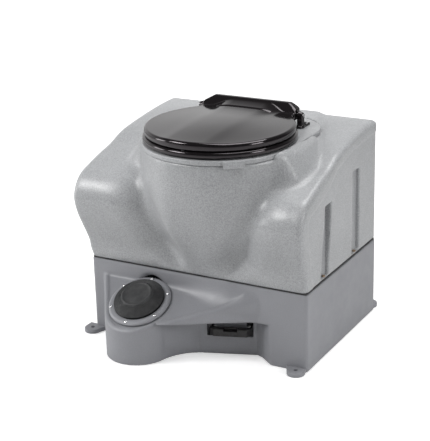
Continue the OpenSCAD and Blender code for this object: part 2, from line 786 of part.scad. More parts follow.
// A bar along the hinge with the side outline given, and with ends that slope down from x = flat.
module lid_back(reach, flat, end_z, outline) {
    translate([bowl_x, hinge_y, hinge_z])
        intersection() {
            translate([-reach, 0, 0]) rotate([90, 0, 90]) linear_extrude(2 * reach) polygon(outline);
            rotate([90, 0, 0])
                linear_extrude(far, center = true)
                    polygon([
                        [-reach, -30], [-reach, end_z], [-flat, 27], [flat, 27], [reach, end_z], [reach, -30]
                    ]);
        }
}
module seat_lid() {
    top = ridge_z - hinge_z;
    color("#151517")
        difference() {
            union() {
                intersection() {
                    translate([bowl_x, bowl_y, lid_z])
                        rotate_extrude($fn = 120)
                            polygon([
                                [lid_r - 4, 0], [lid_r, 0], [lid_r, lid_rim - 4], [lid_r - 3, lid_rim],
                                [lid_r - 14, lid_rim + 2], [lid_r * 0.6, lid_rim + 0.75 * lid_crown],
                                [0, lid_rim + lid_crown], [0, lid_rim + lid_crown - lid_skin],
                                [lid_r * 0.6, lid_rim + 0.75 * lid_crown - lid_skin],
                                [lid_r - 14, lid_rim + 2 - lid_skin], [lid_r - 4, lid_rim - 4]
                            ]);
                    front_of_chord();
                }
                lid_back(lid_lug_x + lug_t / 2, 98, 12.5, [
                    [-15, 4], [-14, 9], [-7, 15], [4, top - 1.5], [8, top], [13, top], [17, top - 3],
                    [17, 11], [-8, 10.6], [-11.5, 6], [-11.5, 4]
                ]);
                lid_back(104, 90, 6, [
                    [-100, 3.6], [-100, 9.3], [-80, 10.2], [-60, 11.6], [-40, 13.6], [-20, 17.2],
                    [4, top - 1.5], [4, 12], [-8, 10.6], [-11.5, 6], [-11.5, 3.6]
                ]);
                for (s = [-1, 1])
                    hinge_lug(s * lid_lug_x, lug_t, [
                        [-15, lid_z - hinge_z], [-6, lid_z - hinge_z], [8, 0], [17, 12], [-8, 12], [-15, 5]
                    ]);
            }
            rod_bore(rod_r + pin_gap);
        }
}
module lid_bumpers() {
    color("#232325")
        for (a = [35, 145, 270])
            translate([
                bowl_x + (lid_r - 4) * cos(a), bowl_y + (lid_r - 4) * sin(a), seat_z + seat_t + 0.2
            ])
                cylinder(h = lid_gap - 0.2, r = 3.5);
}
shoulder_r = 12;
module hinge_posts() {
    color("#1a1a1c")
        difference() {
            for (s = [-1, 1])
                translate([bowl_x + s * post_x - hinge_foot.x / 2, hinge_y, 0]) {
                    translate([0, -12, plate_z]) cube(hinge_foot);
                    translate([0, -lug_r, plate_z]) cube([hinge_foot.x, 2 * lug_r, hinge_z - plate_z]);
                    translate([0, 0, hinge_z])
                        rotate([0, 90, 0])
                            cylinder(
                                h = hinge_foot.x,
                                r1 = s < 0 ? lug_r : shoulder_r,
                                r2 = s < 0 ? shoulder_r : lug_r
                            );
                }
            rod_bore(rod_r + pin_gap);
            bolt_spots() translate([0, 0, plate_z - 1]) cylinder(h = 10, r = bolt_r + pin_gap);
        }
}
module hinge_rod() {
    color("#8d8f92")
        translate([bowl_x, hinge_y, hinge_z])
            rotate([0, 90, 0]) cylinder(h = 2 * rod_half, r = rod_r, center = true);
}
module hinge_bolts() {
    color("#8d8f92")
        bolt_spots() {
            translate([0, 0, plate_z + hinge_foot.z]) cylinder(h = 4, r = 2 * bolt_r, $fn = 6);
            translate([0, 0, plate_z - bolt_deep]) cylinder(h = bolt_deep + hinge_foot.z + 1, r = bolt_r);
        }
}
module hinge_nuts() {
    color("#8d8f92")
        bolt_spots()
            translate([0, 0, plate_z - 5 - 5])
                difference() {
                    cylinder(h = 5, r = 5.6, $fn = 6);
                    translate([0, 0, -1]) cylinder(h = 7, r = bolt_r + pin_gap);
                }
}

// The foot pump, drawn about its own tilted axis.
cup_r = 50;
cup_deep = 42;
flange_t = 2.5;
foot_r = pump_screw_pcd_r - 2.5;
spigot_x = 20;
spigot_r = 6;
spigot_low = -58;
module pump_body() {
    color("#33353a")
        pump_frame()
            difference() {
                union() {
                    cylinder(h = flange_t, r = pump_ring_r);
                    translate([0, 0, -cup_deep]) cylinder(h = cup_deep + 1, r = cup_r);
                    for (s = [-1, 1])
                        translate([s * spigot_x, 0, spigot_low]) cylinder(h = 20, r = spigot_r);
                }
                translate([0, 0, 3 - cup_deep]) cylinder(h = cup_deep + 10, r = cup_r - 3);
                for (s = [-1, 1])
                    translate([s * spigot_x, 0, spigot_low - 1]) cylinder(h = 30, r = spigot_r - 2);
                pump_screw_spots() translate([0, 0, -1]) cylinder(h = 10, r = 2.2);
            }
}
rib_n = 6;
skirt_low = flange_t + 2.5;
skirt_top = button_h - 3;
module pump_bellows() {
    step = [(button_r + 2.5 - bellows_r) / rib_n, (skirt_top - skirt_low) / rib_n];
    color("#2b2c2e")
        pump_frame()
            rotate_extrude($fn = 96)
                polygon(concat(
                    [[bellows_r - 4, flange_t], [foot_r, flange_t], [foot_r, skirt_low]],
                    [for (i = [0 : rib_n - 1]) each [
                        [bellows_r + i * step.x, skirt_low + i * step.y],
                        [bellows_r + (i + 0.35) * step.x, skirt_low + (i + 0.75) * step.y]
                    ]],
                    [
                        [button_r + 2.5, skirt_top], [button_r + clearance, skirt_top + 1.5],
                        [button_r + clearance, skirt_top - 2.5]
                    ]
                ));
}
module pump_button() {
    color("#303133")
        pump_frame()
            rotate_extrude()
                polygon([
                    [0, -8], [9, -8], [9, button_h - 6], [button_r, button_h - 6],
                    [button_r, button_h - 1.2], [button_r - 1.2, button_h], [0, button_h]
                ]);
}
module pump_ring() {
    color("#84888e")
        pump_frame()
            difference() {
                rotate_extrude($fn = 96)
                    polygon([
                        [foot_r + clearance, flange_t], [pump_ring_r, flange_t], [pump_ring_r, flange_t + 1.5],
                        [pump_ring_r - 2.5, flange_t + 5.5], [bellows_r + 0.5, flange_t + 5.5],
                        [bellows_r + 0.5, skirt_low + clearance], [foot_r + clearance, skirt_low + clearance]
                    ]);
                pump_screw_spots() translate([0, 0, -1]) cylinder(h = 20, r = 2.2);
            }
}
module pump_screws() {
    color("#d9d9d9")
        pump_frame()
            pump_screw_spots() {
                translate([0, 0, -9]) cylinder(h = flange_t + 15, r = 2);
                translate([0, 0, flange_t + 5.5]) cylinder(h = 2, r = 3.6);
            }
}
module duckbill(x) {
    color("#3a2f2c")
        pump_frame()
            translate([x, 0, spigot_low + 2])
                difference() {
                    cylinder(h = 12, r = spigot_r - 2 - pin_gap);
                    translate([0, 0, -1]) cylinder(h = 11, r = spigot_r - 3.5);
                    translate([-0.3, -2, 8]) cube([0.6, 4, 6]);
                }
}
module inlet_valve() {
    duckbill(-spigot_x);
}
module outlet_valve() {
    duckbill(spigot_x);
}

// Hoses: round tubes along smooth routes of hand-chosen points.
function unit(v) = v / norm(v);
function spline(p, i, t) =
    let(a = p[max(i - 1, 0)], b = p[i], c = p[i + 1], d = p[min(i + 2, len(p) - 1)])
    0.5 * (2 * b + (c - a) * t + (2 * a - 5 * b + 4 * c - d) * t * t + (3 * b - 3 * c + d - a) * t * t * t);
module hose(route, r) {
    steps = 3;
    sides = 10;
    path = concat(
        [for (i = [0 : len(route) - 2]) for (k = [0 : steps - 1]) spline(route, i, k / steps)],
        [route[len(route) - 1]]
    );
    n = len(path);
    rings = [for (i = [0 : n - 1])
        let(
            along = unit(path[min(i + 1, n - 1)] - path[max(i - 1, 0)]),
            across = unit(cross(along, [1, 0, 0])),
            third = cross(along, across)
        )
        for (k = [0 : sides - 1])
            let(a = 360 * k / sides) path[i] + r * (cos(a) * across + sin(a) * third)];
    polyhedron(
        rings,
        concat(
            [[for (k = [0 : sides - 1]) k]],
            [for (i = [0 : n - 2]) for (k = [0 : sides - 1]) each [
                [i * sides + k, (i + 1) * sides + k, i * sides + (k + 1) % sides],
                [i * sides + (k + 1) % sides, (i + 1) * sides + k, (i + 1) * sides + (k + 1) % sides]
            ]],
            [[for (k = [0 : sides - 1]) n * sides - 1 - k]]
        )
    );
}
module suction_hose() {
    start = pump_point(-spigot_x, spigot_low - 0.6);
    color("#6c6f72")
        hose([
            start, pump_point(-spigot_x, spigot_low - 14), [start.x - 2, front_y - 10, 44],
            [suction_at.x + 2, front_y + 18, 46], [suction_at.x, suction_at.y - 4, 72],
            [suction_at.x, suction_at.y, base_h - 78], [suction_at.x, suction_at.y, base_h - 38],
            [suction_at.x, suction_at.y, housing_z + wall + 4]
        ], hose_r);
}
module delivery_hose() {
    start = pump_point(spigot_x, spigot_low - 0.6);
    color("#6c6f72")
        hose([
            start, pump_point(spigot_x, spigot_low - 14), [start.x + 2, front_y - 10, 44],
            [delivery_at.x - 2, front_y + 18, 46], [delivery_at.x, delivery_at.y - 4, 72],
            [delivery_at.x, delivery_at.y, base_h - 78], [delivery_at.x, delivery_at.y, base_h - 38],
            [delivery_at.x, delivery_at.y, housing_z + wall + 3],
            [delivery_at.x, delivery_at.y, housing_z + 22], [delivery_at.x - 8, front_y + 70, 256],
            [delivery_at.x - 28, front_y + 112, 320], [delivery_at.x - 48, front_y + 152, 372],
            [delivery_at.x - 57, front_y + 184, 412], [delivery_at.x - 52, front_y + 189, spray_z - 5],
            spray_at(bowl_top_r + 42), spray_at(bowl_top_r + 31)
        ], hose_r);
}
module strainer() {
    color("#b9bcc0")
        translate([suction_at.x, suction_at.y, housing_z + wall])
            difference() {
                cylinder(h = 34, r = hose_r + 3);
                translate([0, 0, -1]) cylinder(h = 32, r = hose_r + clearance);
                for (a = [0 : 45 : 135])
                    rotate([0, 0, a]) translate([-20, -1.2, 12]) cube([40, 2.4, 16]);
            }
}
module spray_nozzle() {
    color("#b9bcc0")
        translate(spray_at(bowl_top_r - 16))
            rotate([0, 90, spray_angle])
                difference() {
                    union() {
                        cylinder(h = 46, r = nozzle_r);
                        cylinder(h = 5, r = nozzle_r + 4);
                    }
                    translate([0, 0, 3]) cylinder(h = 60, r = nozzle_r - 2);
                    translate([0, 0, -1]) cylinder(h = 10, r = 1.5);
                }
}

// The pedal, its rod and the trap flap.
crank_pin_r = 2.5;
module pedal_arm(x, rear) {
    translate([x - arm_t / 2, 0, 0])
        difference() {
            union() {
                translate([0, -12, pivot_z - 6]) cube([arm_t, pivot_in + 12 + rear, 12]);
                for (y = [pivot_in, pivot_in + rear])
                    translate([0, y, pivot_z]) rotate([0, 90, 0]) cylinder(h = arm_t, r = eye_r + 1);
            }
            translate([-1, pivot_in, pivot_z])
                rotate([0, 90, 0]) cylinder(h = arm_t + 2, r = pin_r + pin_gap);
            if (rear > 0)
                translate([-1, pivot_in + rear, pivot_z])
                    rotate([0, 90, 0]) cylinder(h = arm_t + 2, r = crank_pin_r + 0.05);
        }
}
pedal_out = 24;
pedal_low = pivot_z - 9;
module foot_pedal() {
    chamfer = 10;
    color("#1c1c1e")
        mech() {
            difference() {
                translate([0, 0, pedal_low])
                    linear_extrude(pedal_h)
                        polygon([
                            [-pedal_len / 2, -9], [-pedal_len / 2, chamfer - pedal_out],
                            [chamfer - pedal_len / 2, -pedal_out], [pedal_len / 2 - chamfer, -pedal_out],
                            [pedal_len / 2, chamfer - pedal_out], [pedal_len / 2, -9]
                        ]);
                translate([-16, -pedal_out - 1, pedal_low + pedal_h - 6]) cube([32, 10, 10]);
            }
            pedal_arm(arm_x, rear_arm);
            pedal_arm(-arm_x, 0);
        }
}
module pedal_pins() {
    color("#9a9da1") pivot_rods(pin_r);
}
spring_turns = 3;
module pedal_spring() {
    wire = 0.9;
    coil_r = pin_r + wire + 0.6;
    span = 7;
    steps = 16;
    n = spring_turns * steps;
    x0 = -arm_x - arm_t / 2 - 1.4 - span;
    ring = [for (k = [0 : 5]) [cos(60 * k), sin(60 * k)]];
    points = [for (i = [0 : n])
        let(a = 360 * i / steps, x = x0 + span * i / n)
        for (q = ring) [
            x + wire * q.x,
            pivot_in + (coil_r + wire * q.y) * cos(a),
            pivot_z + (coil_r + wire * q.y) * sin(a)
        ]];
    faces = concat(
        [[for (k = [0 : 5]) k]],
        [for (i = [0 : n - 1]) for (k = [0 : 5]) each [
            [i * 6 + k, (i + 1) * 6 + k, i * 6 + (k + 1) % 6],
            [i * 6 + (k + 1) % 6, (i + 1) * 6 + k, (i + 1) * 6 + (k + 1) % 6]
        ]],
        [[for (k = [0 : 5]) (n + 1) * 6 - 1 - k]]
    );
    color("#9a9da1") mech() polyhedron(points, faces);
}
rod_x = arm_x - arm_t / 2 - 3;
rod_t = 4.6;
crank_end = [shaft_in - crank_len * cos(crank_droop), flap_z - crank_len * sin(crank_droop)];
rod_foot = [pivot_in + rear_arm, pivot_z];
rod_slot = 1.7;
slot_mid = 1.3;
// The rod's upper end: a slot across the rod, so the crank pin can wander to either side.
module slotted_eye(y, thick, r) {
    translate([0, y, slot_mid]) {
        for (z = [-rod_slot, rod_slot])
            translate([0, 0, z]) rotate([0, 90, 0]) cylinder(h = thick, r = r);
        translate([0, -r, -rod_slot]) cube([thick, 2 * r, 2 * rod_slot]);
    }
}
module link_rod() {
    d = crank_end - rod_foot;
    color("#9a9da1")
        mech()
            translate([rod_x - rod_t / 2, rod_foot.x, rod_foot.y])
                rotate([atan2(d.y, d.x), 0, 0])
                    difference() {
                        union() {
                            translate([0, 0, -3]) cube([rod_t, norm(d) - 4, 6]);
                            rotate([0, 90, 0]) cylinder(h = rod_t, r = eye_r);
                            slotted_eye(norm(d), rod_t, crank_pin_r + 2.7);
                        }
                        translate([-1, 0, 0])
                            rotate([0, 90, 0]) cylinder(h = rod_t + 2, r = crank_pin_r + pin_gap);
                        translate([-1, 0, 0]) slotted_eye(norm(d), rod_t + 2, crank_pin_r + 0.5);
                    }
}
module link_pin() {
    color("#9a9da1")
        mech()
            translate([rod_x - rod_t / 2 - 1, rod_foot.x, rod_foot.y])
                rotate([0, 90, 0]) cylinder(h = arm_x + arm_t / 2 + 1 - rod_x + rod_t / 2, r = crank_pin_r);
}
trap_t = 8;
trap_z = housing_z - trap_t;
lug_in = flap_r + 2.5;
trap_lug_t = 6;
trap_r = outlet_r + 17;
module trap_screw_spots() {
    mech()
        for (a = [45 : 90 : 315])
            translate([
                bowl_in_mech.x + (trap_r - 5) * cos(a), bowl_in_mech.y + (trap_r - 5) * sin(a), 0
            ])
                children();
}
module trap_frame() {
    color("#33353a")
        difference() {
            mech() {
                translate([bowl_in_mech.x, bowl_in_mech.y, trap_z]) cylinder(h = trap_t, r = trap_r);
                translate([bowl_in_mech.x - lug_in - trap_lug_t, shaft_in - 7, trap_z])
                    cube([2 * (lug_in + trap_lug_t), bowl_in_mech.y - shaft_in - 20, trap_t]);
                for (x = [-lug_in - trap_lug_t, lug_in])
                    translate([bowl_in_mech.x + x, shaft_in, flap_z]) {
                        rotate([0, 90, 0]) cylinder(h = trap_lug_t, r = 7);
                        translate([0, -7, 0]) cube([trap_lug_t, 14, trap_z + 1 - flap_z]);
                    }
            }
            translate([bowl_x, bowl_y, trap_z - 1]) cylinder(h = trap_t + 2, r = outlet_r);
            mech()
                translate([bowl_in_mech.x, shaft_in, flap_z])
                    rotate([0, 90, 0]) cylinder(h = 300, r = pin_r + pin_gap, center = true);
            trap_screw_spots() translate([0, 0, trap_z - 1]) cylinder(h = trap_t + 2, r = 2.1);
        }
}
module trap_screws() {
    color("#9a9da1")
        trap_screw_spots() {
            translate([0, 0, trap_z - 2]) cylinder(h = 2, r = 3.6);
            translate([0, 0, trap_z - 1]) cylinder(h = trap_t + wall, r = 2);
        }
}
flap_t = 3.5;
flap_arm_x = 25;
seal_t = 3;
module trap_flap() {
    top = trap_z - seal_t - 0.2;
    color("#2e3034")
        mech()
            difference() {
                union() {
                    translate([bowl_in_mech.x, bowl_in_mech.y, top - flap_t])
                        cylinder(h = flap_t, r = flap_r);
                    for (s = [-1, 1])
                        translate([bowl_in_mech.x + s * flap_arm_x - 4, shaft_in, 0]) {
                            translate([0, 0, top - flap_t - 3]) cube([8, flap_r + 10, 4]);
                            translate([0, 0, flap_z]) rotate([0, 90, 0]) cylinder(h = 8, r = pin_r + 2.5);
                        }
                }
                translate([bowl_in_mech.x, shaft_in, flap_z])
                    rotate([0, 90, 0]) cylinder(h = 300, r = pin_r + 0.05, center = true);
            }
}
module flap_seal() {
    color("#26211f")
        translate([bowl_x, bowl_y, trap_z - seal_t - 0.2])
            difference() {
                cylinder(h = seal_t, r = flap_r);
                translate([0, 0, -1]) cylinder(h = seal_t + 2, r = outlet_r - 3);
            }
}
module flap_shaft() {
    left = bowl_in_mech.x - lug_in - trap_lug_t - 1;
    right = arm_x + arm_t / 2;
    color("#9a9da1")
        mech() {
            translate([left, shaft_in, flap_z]) rotate([0, 90, 0]) cylinder(h = right - left, r = pin_r);
            translate([arm_x - arm_t / 2, shaft_in, flap_z])
                rotate([180 + crank_droop, 0, 0])
                    translate([0, 0, 0.6 - pin_r]) cube([arm_t, crank_len, 2 * pin_r - 1.2]);
            translate([arm_x - arm_t / 2, crank_end.x, crank_end.y])
                rotate([0, 90, 0]) cylinder(h = arm_t, r = pin_r);
            translate([rod_x - rod_t / 2 - 1, crank_end.x, crank_end.y])
                rotate([0, 90, 0]) cylinder(h = arm_x - rod_x + rod_t / 2 + 1, r = crank_pin_r);
        }
}

// The filler cap and its seal.
seal_deep = 4;
fill_seal_t = 2;
module fill_cap() {
    low = plateau_z - seal_deep + fill_seal_t + 0.1;
    color("#3b3e43")
        translate([fill_x, fill_y, 0]) {
            translate([0, 0, low]) cylinder(h = plateau_z + 4 - low, r = cap_r);
            translate([0, 0, low - 14]) cylinder(h = 15, r = fill_bore - clearance);
            translate([3 - cap_r, -3, plateau_z + 3]) cube([2 * cap_r - 6, 6, 6]);
        }
}
module fill_seal() {
    color("#1d1e20")
        translate([fill_x, fill_y, plateau_z - seal_deep])
            difference() {
                cylinder(h = fill_seal_t, r = cap_r - 0.5);
                translate([0, 0, -1]) cylinder(h = fill_seal_t + 2, r = fill_bore + 0.3);
            }
}

base_housing();
joint_gasket();
upper_housing();
joint_screws();
bowl();
lip_clip();
seat_ring();
seat_bumpers();
seat_lid();
lid_bumpers();
hinge_posts();
hinge_rod();
hinge_bolts();
hinge_nuts();
pump_body();
pump_bellows();
pump_button();
pump_ring();
pump_screws();
inlet_valve();
outlet_valve();
suction_hose();
delivery_hose();
strainer();
spray_nozzle();
foot_pedal();
pedal_pins();
pedal_spring();
link_rod();
link_pin();
trap_frame();
trap_screws();
trap_flap();
flap_seal();
flap_shaft();
fill_cap();
fill_seal();
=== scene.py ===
"""Looks for a portable toilet: a speckled housing on a plain base, with seat, lid, foot pump and pedal.

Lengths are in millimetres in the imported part's own frame until a mesh is made, which is in metres.
"""

import json
import logging
from dataclasses import dataclass
from enum import Enum
from typing import Callable, Sequence

import bpy
import numpy as np
from mathutils import Matrix, Vector

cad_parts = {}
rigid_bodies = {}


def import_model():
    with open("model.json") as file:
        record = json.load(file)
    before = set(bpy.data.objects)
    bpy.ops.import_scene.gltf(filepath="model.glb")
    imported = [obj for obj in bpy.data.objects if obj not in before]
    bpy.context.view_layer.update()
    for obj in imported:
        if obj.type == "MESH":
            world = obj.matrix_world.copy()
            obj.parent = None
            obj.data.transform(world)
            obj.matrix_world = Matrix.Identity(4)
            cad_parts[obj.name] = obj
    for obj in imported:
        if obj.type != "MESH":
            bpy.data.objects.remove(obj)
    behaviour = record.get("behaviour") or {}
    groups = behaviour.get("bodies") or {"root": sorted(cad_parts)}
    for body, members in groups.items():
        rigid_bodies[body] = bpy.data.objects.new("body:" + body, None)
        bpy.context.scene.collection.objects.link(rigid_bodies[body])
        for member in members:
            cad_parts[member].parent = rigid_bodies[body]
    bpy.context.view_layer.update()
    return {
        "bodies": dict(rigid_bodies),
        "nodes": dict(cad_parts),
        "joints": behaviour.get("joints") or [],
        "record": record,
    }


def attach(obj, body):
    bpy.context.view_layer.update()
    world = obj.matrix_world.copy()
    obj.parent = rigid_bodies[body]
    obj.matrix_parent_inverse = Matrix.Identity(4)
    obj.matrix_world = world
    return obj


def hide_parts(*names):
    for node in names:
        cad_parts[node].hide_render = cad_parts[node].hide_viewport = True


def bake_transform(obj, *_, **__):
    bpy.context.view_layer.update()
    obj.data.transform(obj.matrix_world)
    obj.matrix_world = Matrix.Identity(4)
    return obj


LOG = logging.getLogger("portable_toilet")
Array = np.ndarray
Field = Callable[[Array, Array, Array], Array]
Colour = tuple[float, float, float]
METRES = 0.001

# How a skin is found: how firmly a point keeps to its cell's middle, how far it may move from there as a
# share of the cell, and then how often and how far at most it is pulled back onto the surface.
KEEP_TO_MIDDLE = 0.03
MOVE_AT_MOST = 0.6
PULLS = 2
PULL_AT_MOST = 0.4
FLAT_SLOPE = 0.05
# Where the filler cap sits in the upper housing.
CAP_AT = (-50.0, 164.0)
# Halvings in a search along a line, and a direction that no path of a tube follows.
HALVINGS = 30
ASIDE = (1.0, 0.02, 0.03)


class Body(Enum):
    """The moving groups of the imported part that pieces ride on."""

    HOUSING = "housing"
    SEAT = "seat"
    LID = "lid"
    PUMP = "pump"
    PEDAL = "pedal"
    CAP = "cap"


# ---------------------------------------------------------------- shapes as arrays


def ease(t: Array) -> Array:
    """Smooth step from 0 to 1: 3t^2 - 2t^3 with t held between 0 and 1."""
    c = np.clip(t, 0.0, 1.0)
    return c * c * (3.0 - 2.0 * c)


def round_max(a: Array, b: Array, r: float) -> Array:
    """Intersection of two distances with a rounded edge: the greater one, or a circle's at the edge."""
    return np.minimum(np.maximum(a, b), -r) + np.hypot(np.maximum(a + r, 0), np.maximum(b + r, 0))


def round_min(a: Array, b: Array, r: Array | float) -> Array:
    """Union of two distances with a filled corner: the lesser one, or a circle's in the corner."""
    return np.maximum(np.minimum(a, b), r) - np.hypot(np.maximum(r - a, 0), np.maximum(r - b, 0))


def soft_max(a: Array, b: Array, k: float) -> Array:
    """The greater of two heights, softly joined over about k: half the sum plus half the root of squares."""
    return (a + b + np.hypot(a - b, k)) / 2


def soft_min(a: Array, b: Array, k: float) -> Array:
    """The lesser of two heights, with a soft joint about as wide as k."""
    return -soft_max(-a, -b, k)


def halved(inside: Callable[[Array], Array], like: Array, far: float = 400.0) -> Array:
    """Distance at which a test turns false in each direction, found by halving.

    Args:
        inside: tells, for one distance in each direction, where that is still inside.
        like: an array with one value for each direction.
        far: a distance that is outside in every direction.

    Returns:
        The distances.
    """
    low, high = np.zeros_like(like), np.full_like(like, far)
    for _ in range(HALVINGS):
        t = (low + high) / 2
        held = inside(t)
        low, high = np.where(held, t, low), np.where(held, high, t)
    return (low + high) / 2


def circle(count: int) -> Array:
    """Angles of points that are spread evenly round a circle."""
    return 2 * np.pi * np.arange(count) / count


def box_distance(x: Array, y: Array, low: Sequence[float], high: Sequence[float], r: float = 0.0) -> Array:
    """Distance to an upright rectangle: that of a smaller one, less the radius of its corners.

    Args:
        x, y: where to measure.
        low, high: the rectangle's corners.
        r: radius of its corners.

    Returns:
        The distance, below zero inside.
    """
    dx = np.abs(x - (low[0] + high[0]) / 2) - (high[0] - low[0]) / 2 + r
    dy = np.abs(y - (low[1] + high[1]) / 2) - (high[1] - low[1]) / 2 + r
    return np.hypot(np.maximum(dx, 0), np.maximum(dy, 0)) + np.minimum(np.maximum(dx, dy), 0) - r


def polygon_distance(x: Array, y: Array, corners: Sequence[Sequence[float]]) -> Array:
    """Distance to a polygon: the nearest edge's distance, with the sign from an even-odd count.

    Args:
        x, y: where to measure.
        corners: the polygon's corners in order.

    Returns:
        The distance, below zero inside.
    """
    x, y = np.broadcast_arrays(x, y)
    near = np.full(x.shape, 1e9)
    inside = np.zeros(x.shape, bool)
    for (x0, y0), (x1, y1) in zip(corners, list(corners[1:]) + [corners[0]]):
        ex, ey = x1 - x0, y1 - y0
        t = np.clip(((x - x0) * ex + (y - y0) * ey) / (ex * ex + ey * ey), 0, 1)
        near = np.minimum(near, np.hypot(x - x0 - t * ex, y - y0 - t * ey))
        if ey != 0:
            inside ^= ((y0 > y) != (y1 > y)) & (x < x0 + (y - y0) * ex / ey)
    return np.where(inside, -near, near)


def slopes(field: Field, p: Array, h: float = 0.05) -> Array:
    """Gradient of a field at points, by central differences.

    Args:
        field: the field.
        p: the points, one a row.
        h: how far to each side the field is read.

    Returns:
        One gradient a row.
    """
    x, y, z = p.T
    along_x = field(x + h, y, z) - field(x - h, y, z)
    along_y = field(x, y + h, z) - field(x, y - h, z)
    along_z = field(x, y, z + h) - field(x, y, z - h)
    return np.stack([along_x, along_y, along_z], 1) / (2 * h)


def skin_of(field: Field, low: Sequence[float], high: Sequence[float], step: float) -> tuple[Array, Array]:
    """Closed skin where a field is zero.

    Each grid cell that the skin crosses gets one point: the point that lies best on the planes through the
    cell's crossings, which keeps edges crisp. Each crossed grid edge gives one face, of its four cells'
    points. A wall thinner than a cell's diagonal would pinch.

    Args:
        field: below zero inside the form.
        low, high: corners of the grid.
        step: side of a cell.

    Returns:
        The points, and the faces as rows of four indices.
    """
    start = np.asarray(low, float)
    count = np.ceil((np.asarray(high, float) - start) / step).astype(int) + 1
    ax = [start[a] + step * np.arange(count[a]) for a in range(3)]
    grid = field(ax[0][:, None, None], ax[1][None, :, None], ax[2][None, None, :])
    crossings, faces = [], []
    for a in range(3):
        b, c = (a + 1) % 3, (a + 2) % 3
        f0 = np.moveaxis(np.moveaxis(grid, a, 0)[:-1], 0, a)
        f1 = np.moveaxis(np.moveaxis(grid, a, 0)[1:], 0, a)
        at = np.argwhere((f0 < 0) != (f1 < 0))
        v0, v1 = f0[tuple(at.T)], f1[tuple(at.T)]
        p = at.astype(float)
        p[:, a] += v0 / (v0 - v1)
        crossings.append(start + step * p)
        four = []
        for db, dc in ((0, 0), (-1, 0), (-1, -1), (0, -1)):
            cell = at.copy()
            cell[:, b] += db
            cell[:, c] += dc
            four.append((cell[:, 0] * count[1] + cell[:, 1]) * count[2] + cell[:, 2])
        four = np.stack(four, 1)
        four[v0 >= 0] = four[v0 >= 0][:, ::-1]
        faces.append(four)
    p, quads = np.concatenate(crossings), np.concatenate(faces)
    cells, index = np.unique(quads.ravel(), return_inverse=True)
    n = len(cells)
    g = slopes(field, p)
    g /= np.maximum(np.linalg.norm(g, axis=1, keepdims=True), 1e-9)
    d = (g * p).sum(1)
    of = np.repeat(np.arange(len(p)), 4)
    share = np.bincount(index, minlength=n)

    def total(values: Array) -> Array:
        """Sum of one value of each crossing over the cells that share it."""
        return np.bincount(index, weights=values[of], minlength=n)

    middle = np.stack([total(p[:, k]) / share for k in range(3)], 1)
    lhs = np.stack([total(g[:, i] * g[:, j]) for i in range(3) for j in range(3)], 1).reshape(-1, 3, 3)
    rhs = np.stack([total(g[:, k] * d) for k in range(3)], 1) - np.einsum("nij,nj->ni", lhs, middle)
    lhs += (KEEP_TO_MIDDLE * share)[:, None, None] * np.eye(3)
    move = np.linalg.solve(lhs, rhs[:, :, None])[:, :, 0]
    skin = middle + np.clip(move, -MOVE_AT_MOST * step, MOVE_AT_MOST * step)
    for _ in range(PULLS):
        g = slopes(field, skin)
        f = field(*skin.T) / np.maximum((g * g).sum(1), FLAT_SLOPE)
        skin -= np.clip(f[:, None] * g, -PULL_AT_MOST * step, PULL_AT_MOST * step)
    return skin, index.reshape(-1, 4)


def grid_faces(rows: int, columns: int, around_rows: bool, around_columns: bool) -> Array:
    """Faces of a grid of points that are numbered row by row.

    Args:
        rows, columns: the grid's size.
        around_rows: joins the last row to the first.
        around_columns: joins the last column to the first.

    Returns:
        The faces as rows of four indices.
    """
    i = np.arange(rows if around_rows else rows - 1)[:, None]
    j = np.arange(columns if around_columns else columns - 1)[None, :]
    i1, j1 = (i + 1) % rows, (j + 1) % columns
    four = np.broadcast_arrays(i * columns + j, i1 * columns + j, i1 * columns + j1, i * columns + j1)
    return np.stack(four, -1).reshape(-1, 4)


def bar_faces(rows: int, sides: int) -> list[list[int]]:
    """Faces of a bar made of rings, with a cap at each end.

    Args:
        rows: number of rings.
        sides: points in each ring, counter-clockwise about the way that the bar goes.

    Returns:
        The faces, which point outwards.
    """
    faces = grid_faces(rows, sides, False, True)[:, ::-1].tolist()
    return faces + [list(range(sides - 1, -1, -1)), list(range((rows - 1) * sides, rows * sides))]


def ring_points(
    x: float, y: float, angle: Array, rings: Sequence[tuple[Array | float, Array | float]]
) -> Array:
    """Points of rings about an upright axis: the axis plus the radius in each direction, at its height.

    Args:
        x, y: the axis.
        angle: the directions.
        rings: radius and height of each ring, one for all directions or one for each.

    Returns:
        The points, ring by ring.
    """
    r = np.array([np.broadcast_to(radius, angle.shape) for radius, _ in rings])
    z = np.array([np.broadcast_to(height, angle.shape) for _, height in rings])
    return np.stack([x + r * np.cos(angle), y + r * np.sin(angle), z], -1).reshape(-1, 3)


def smooth_path(points: Sequence[Sequence[float]], each: int) -> Array:
    """A curve through points: a chain of cubics, whose slope at a point is half the step between the points
    beside it.

    Args:
        points: the points, in order.
        each: steps in each stretch.

    Returns:
        The curve's points.
    """
    p = np.asarray(points, float)
    q = np.concatenate([p[:1], p, p[-1:]])
    t = (np.arange(each) / each)[None, :, None]
    a, b, c, d = (q[k : len(q) - 3 + k, None, :] for k in range(4))
    curve = 0.5 * (2 * b + (c - a) * t + (2 * a - 5 * b + 4 * c - d) * t**2 + (3 * b - 3 * c + d - a) * t**3)
    return np.concatenate([curve.reshape(-1, 3), p[-1:]])


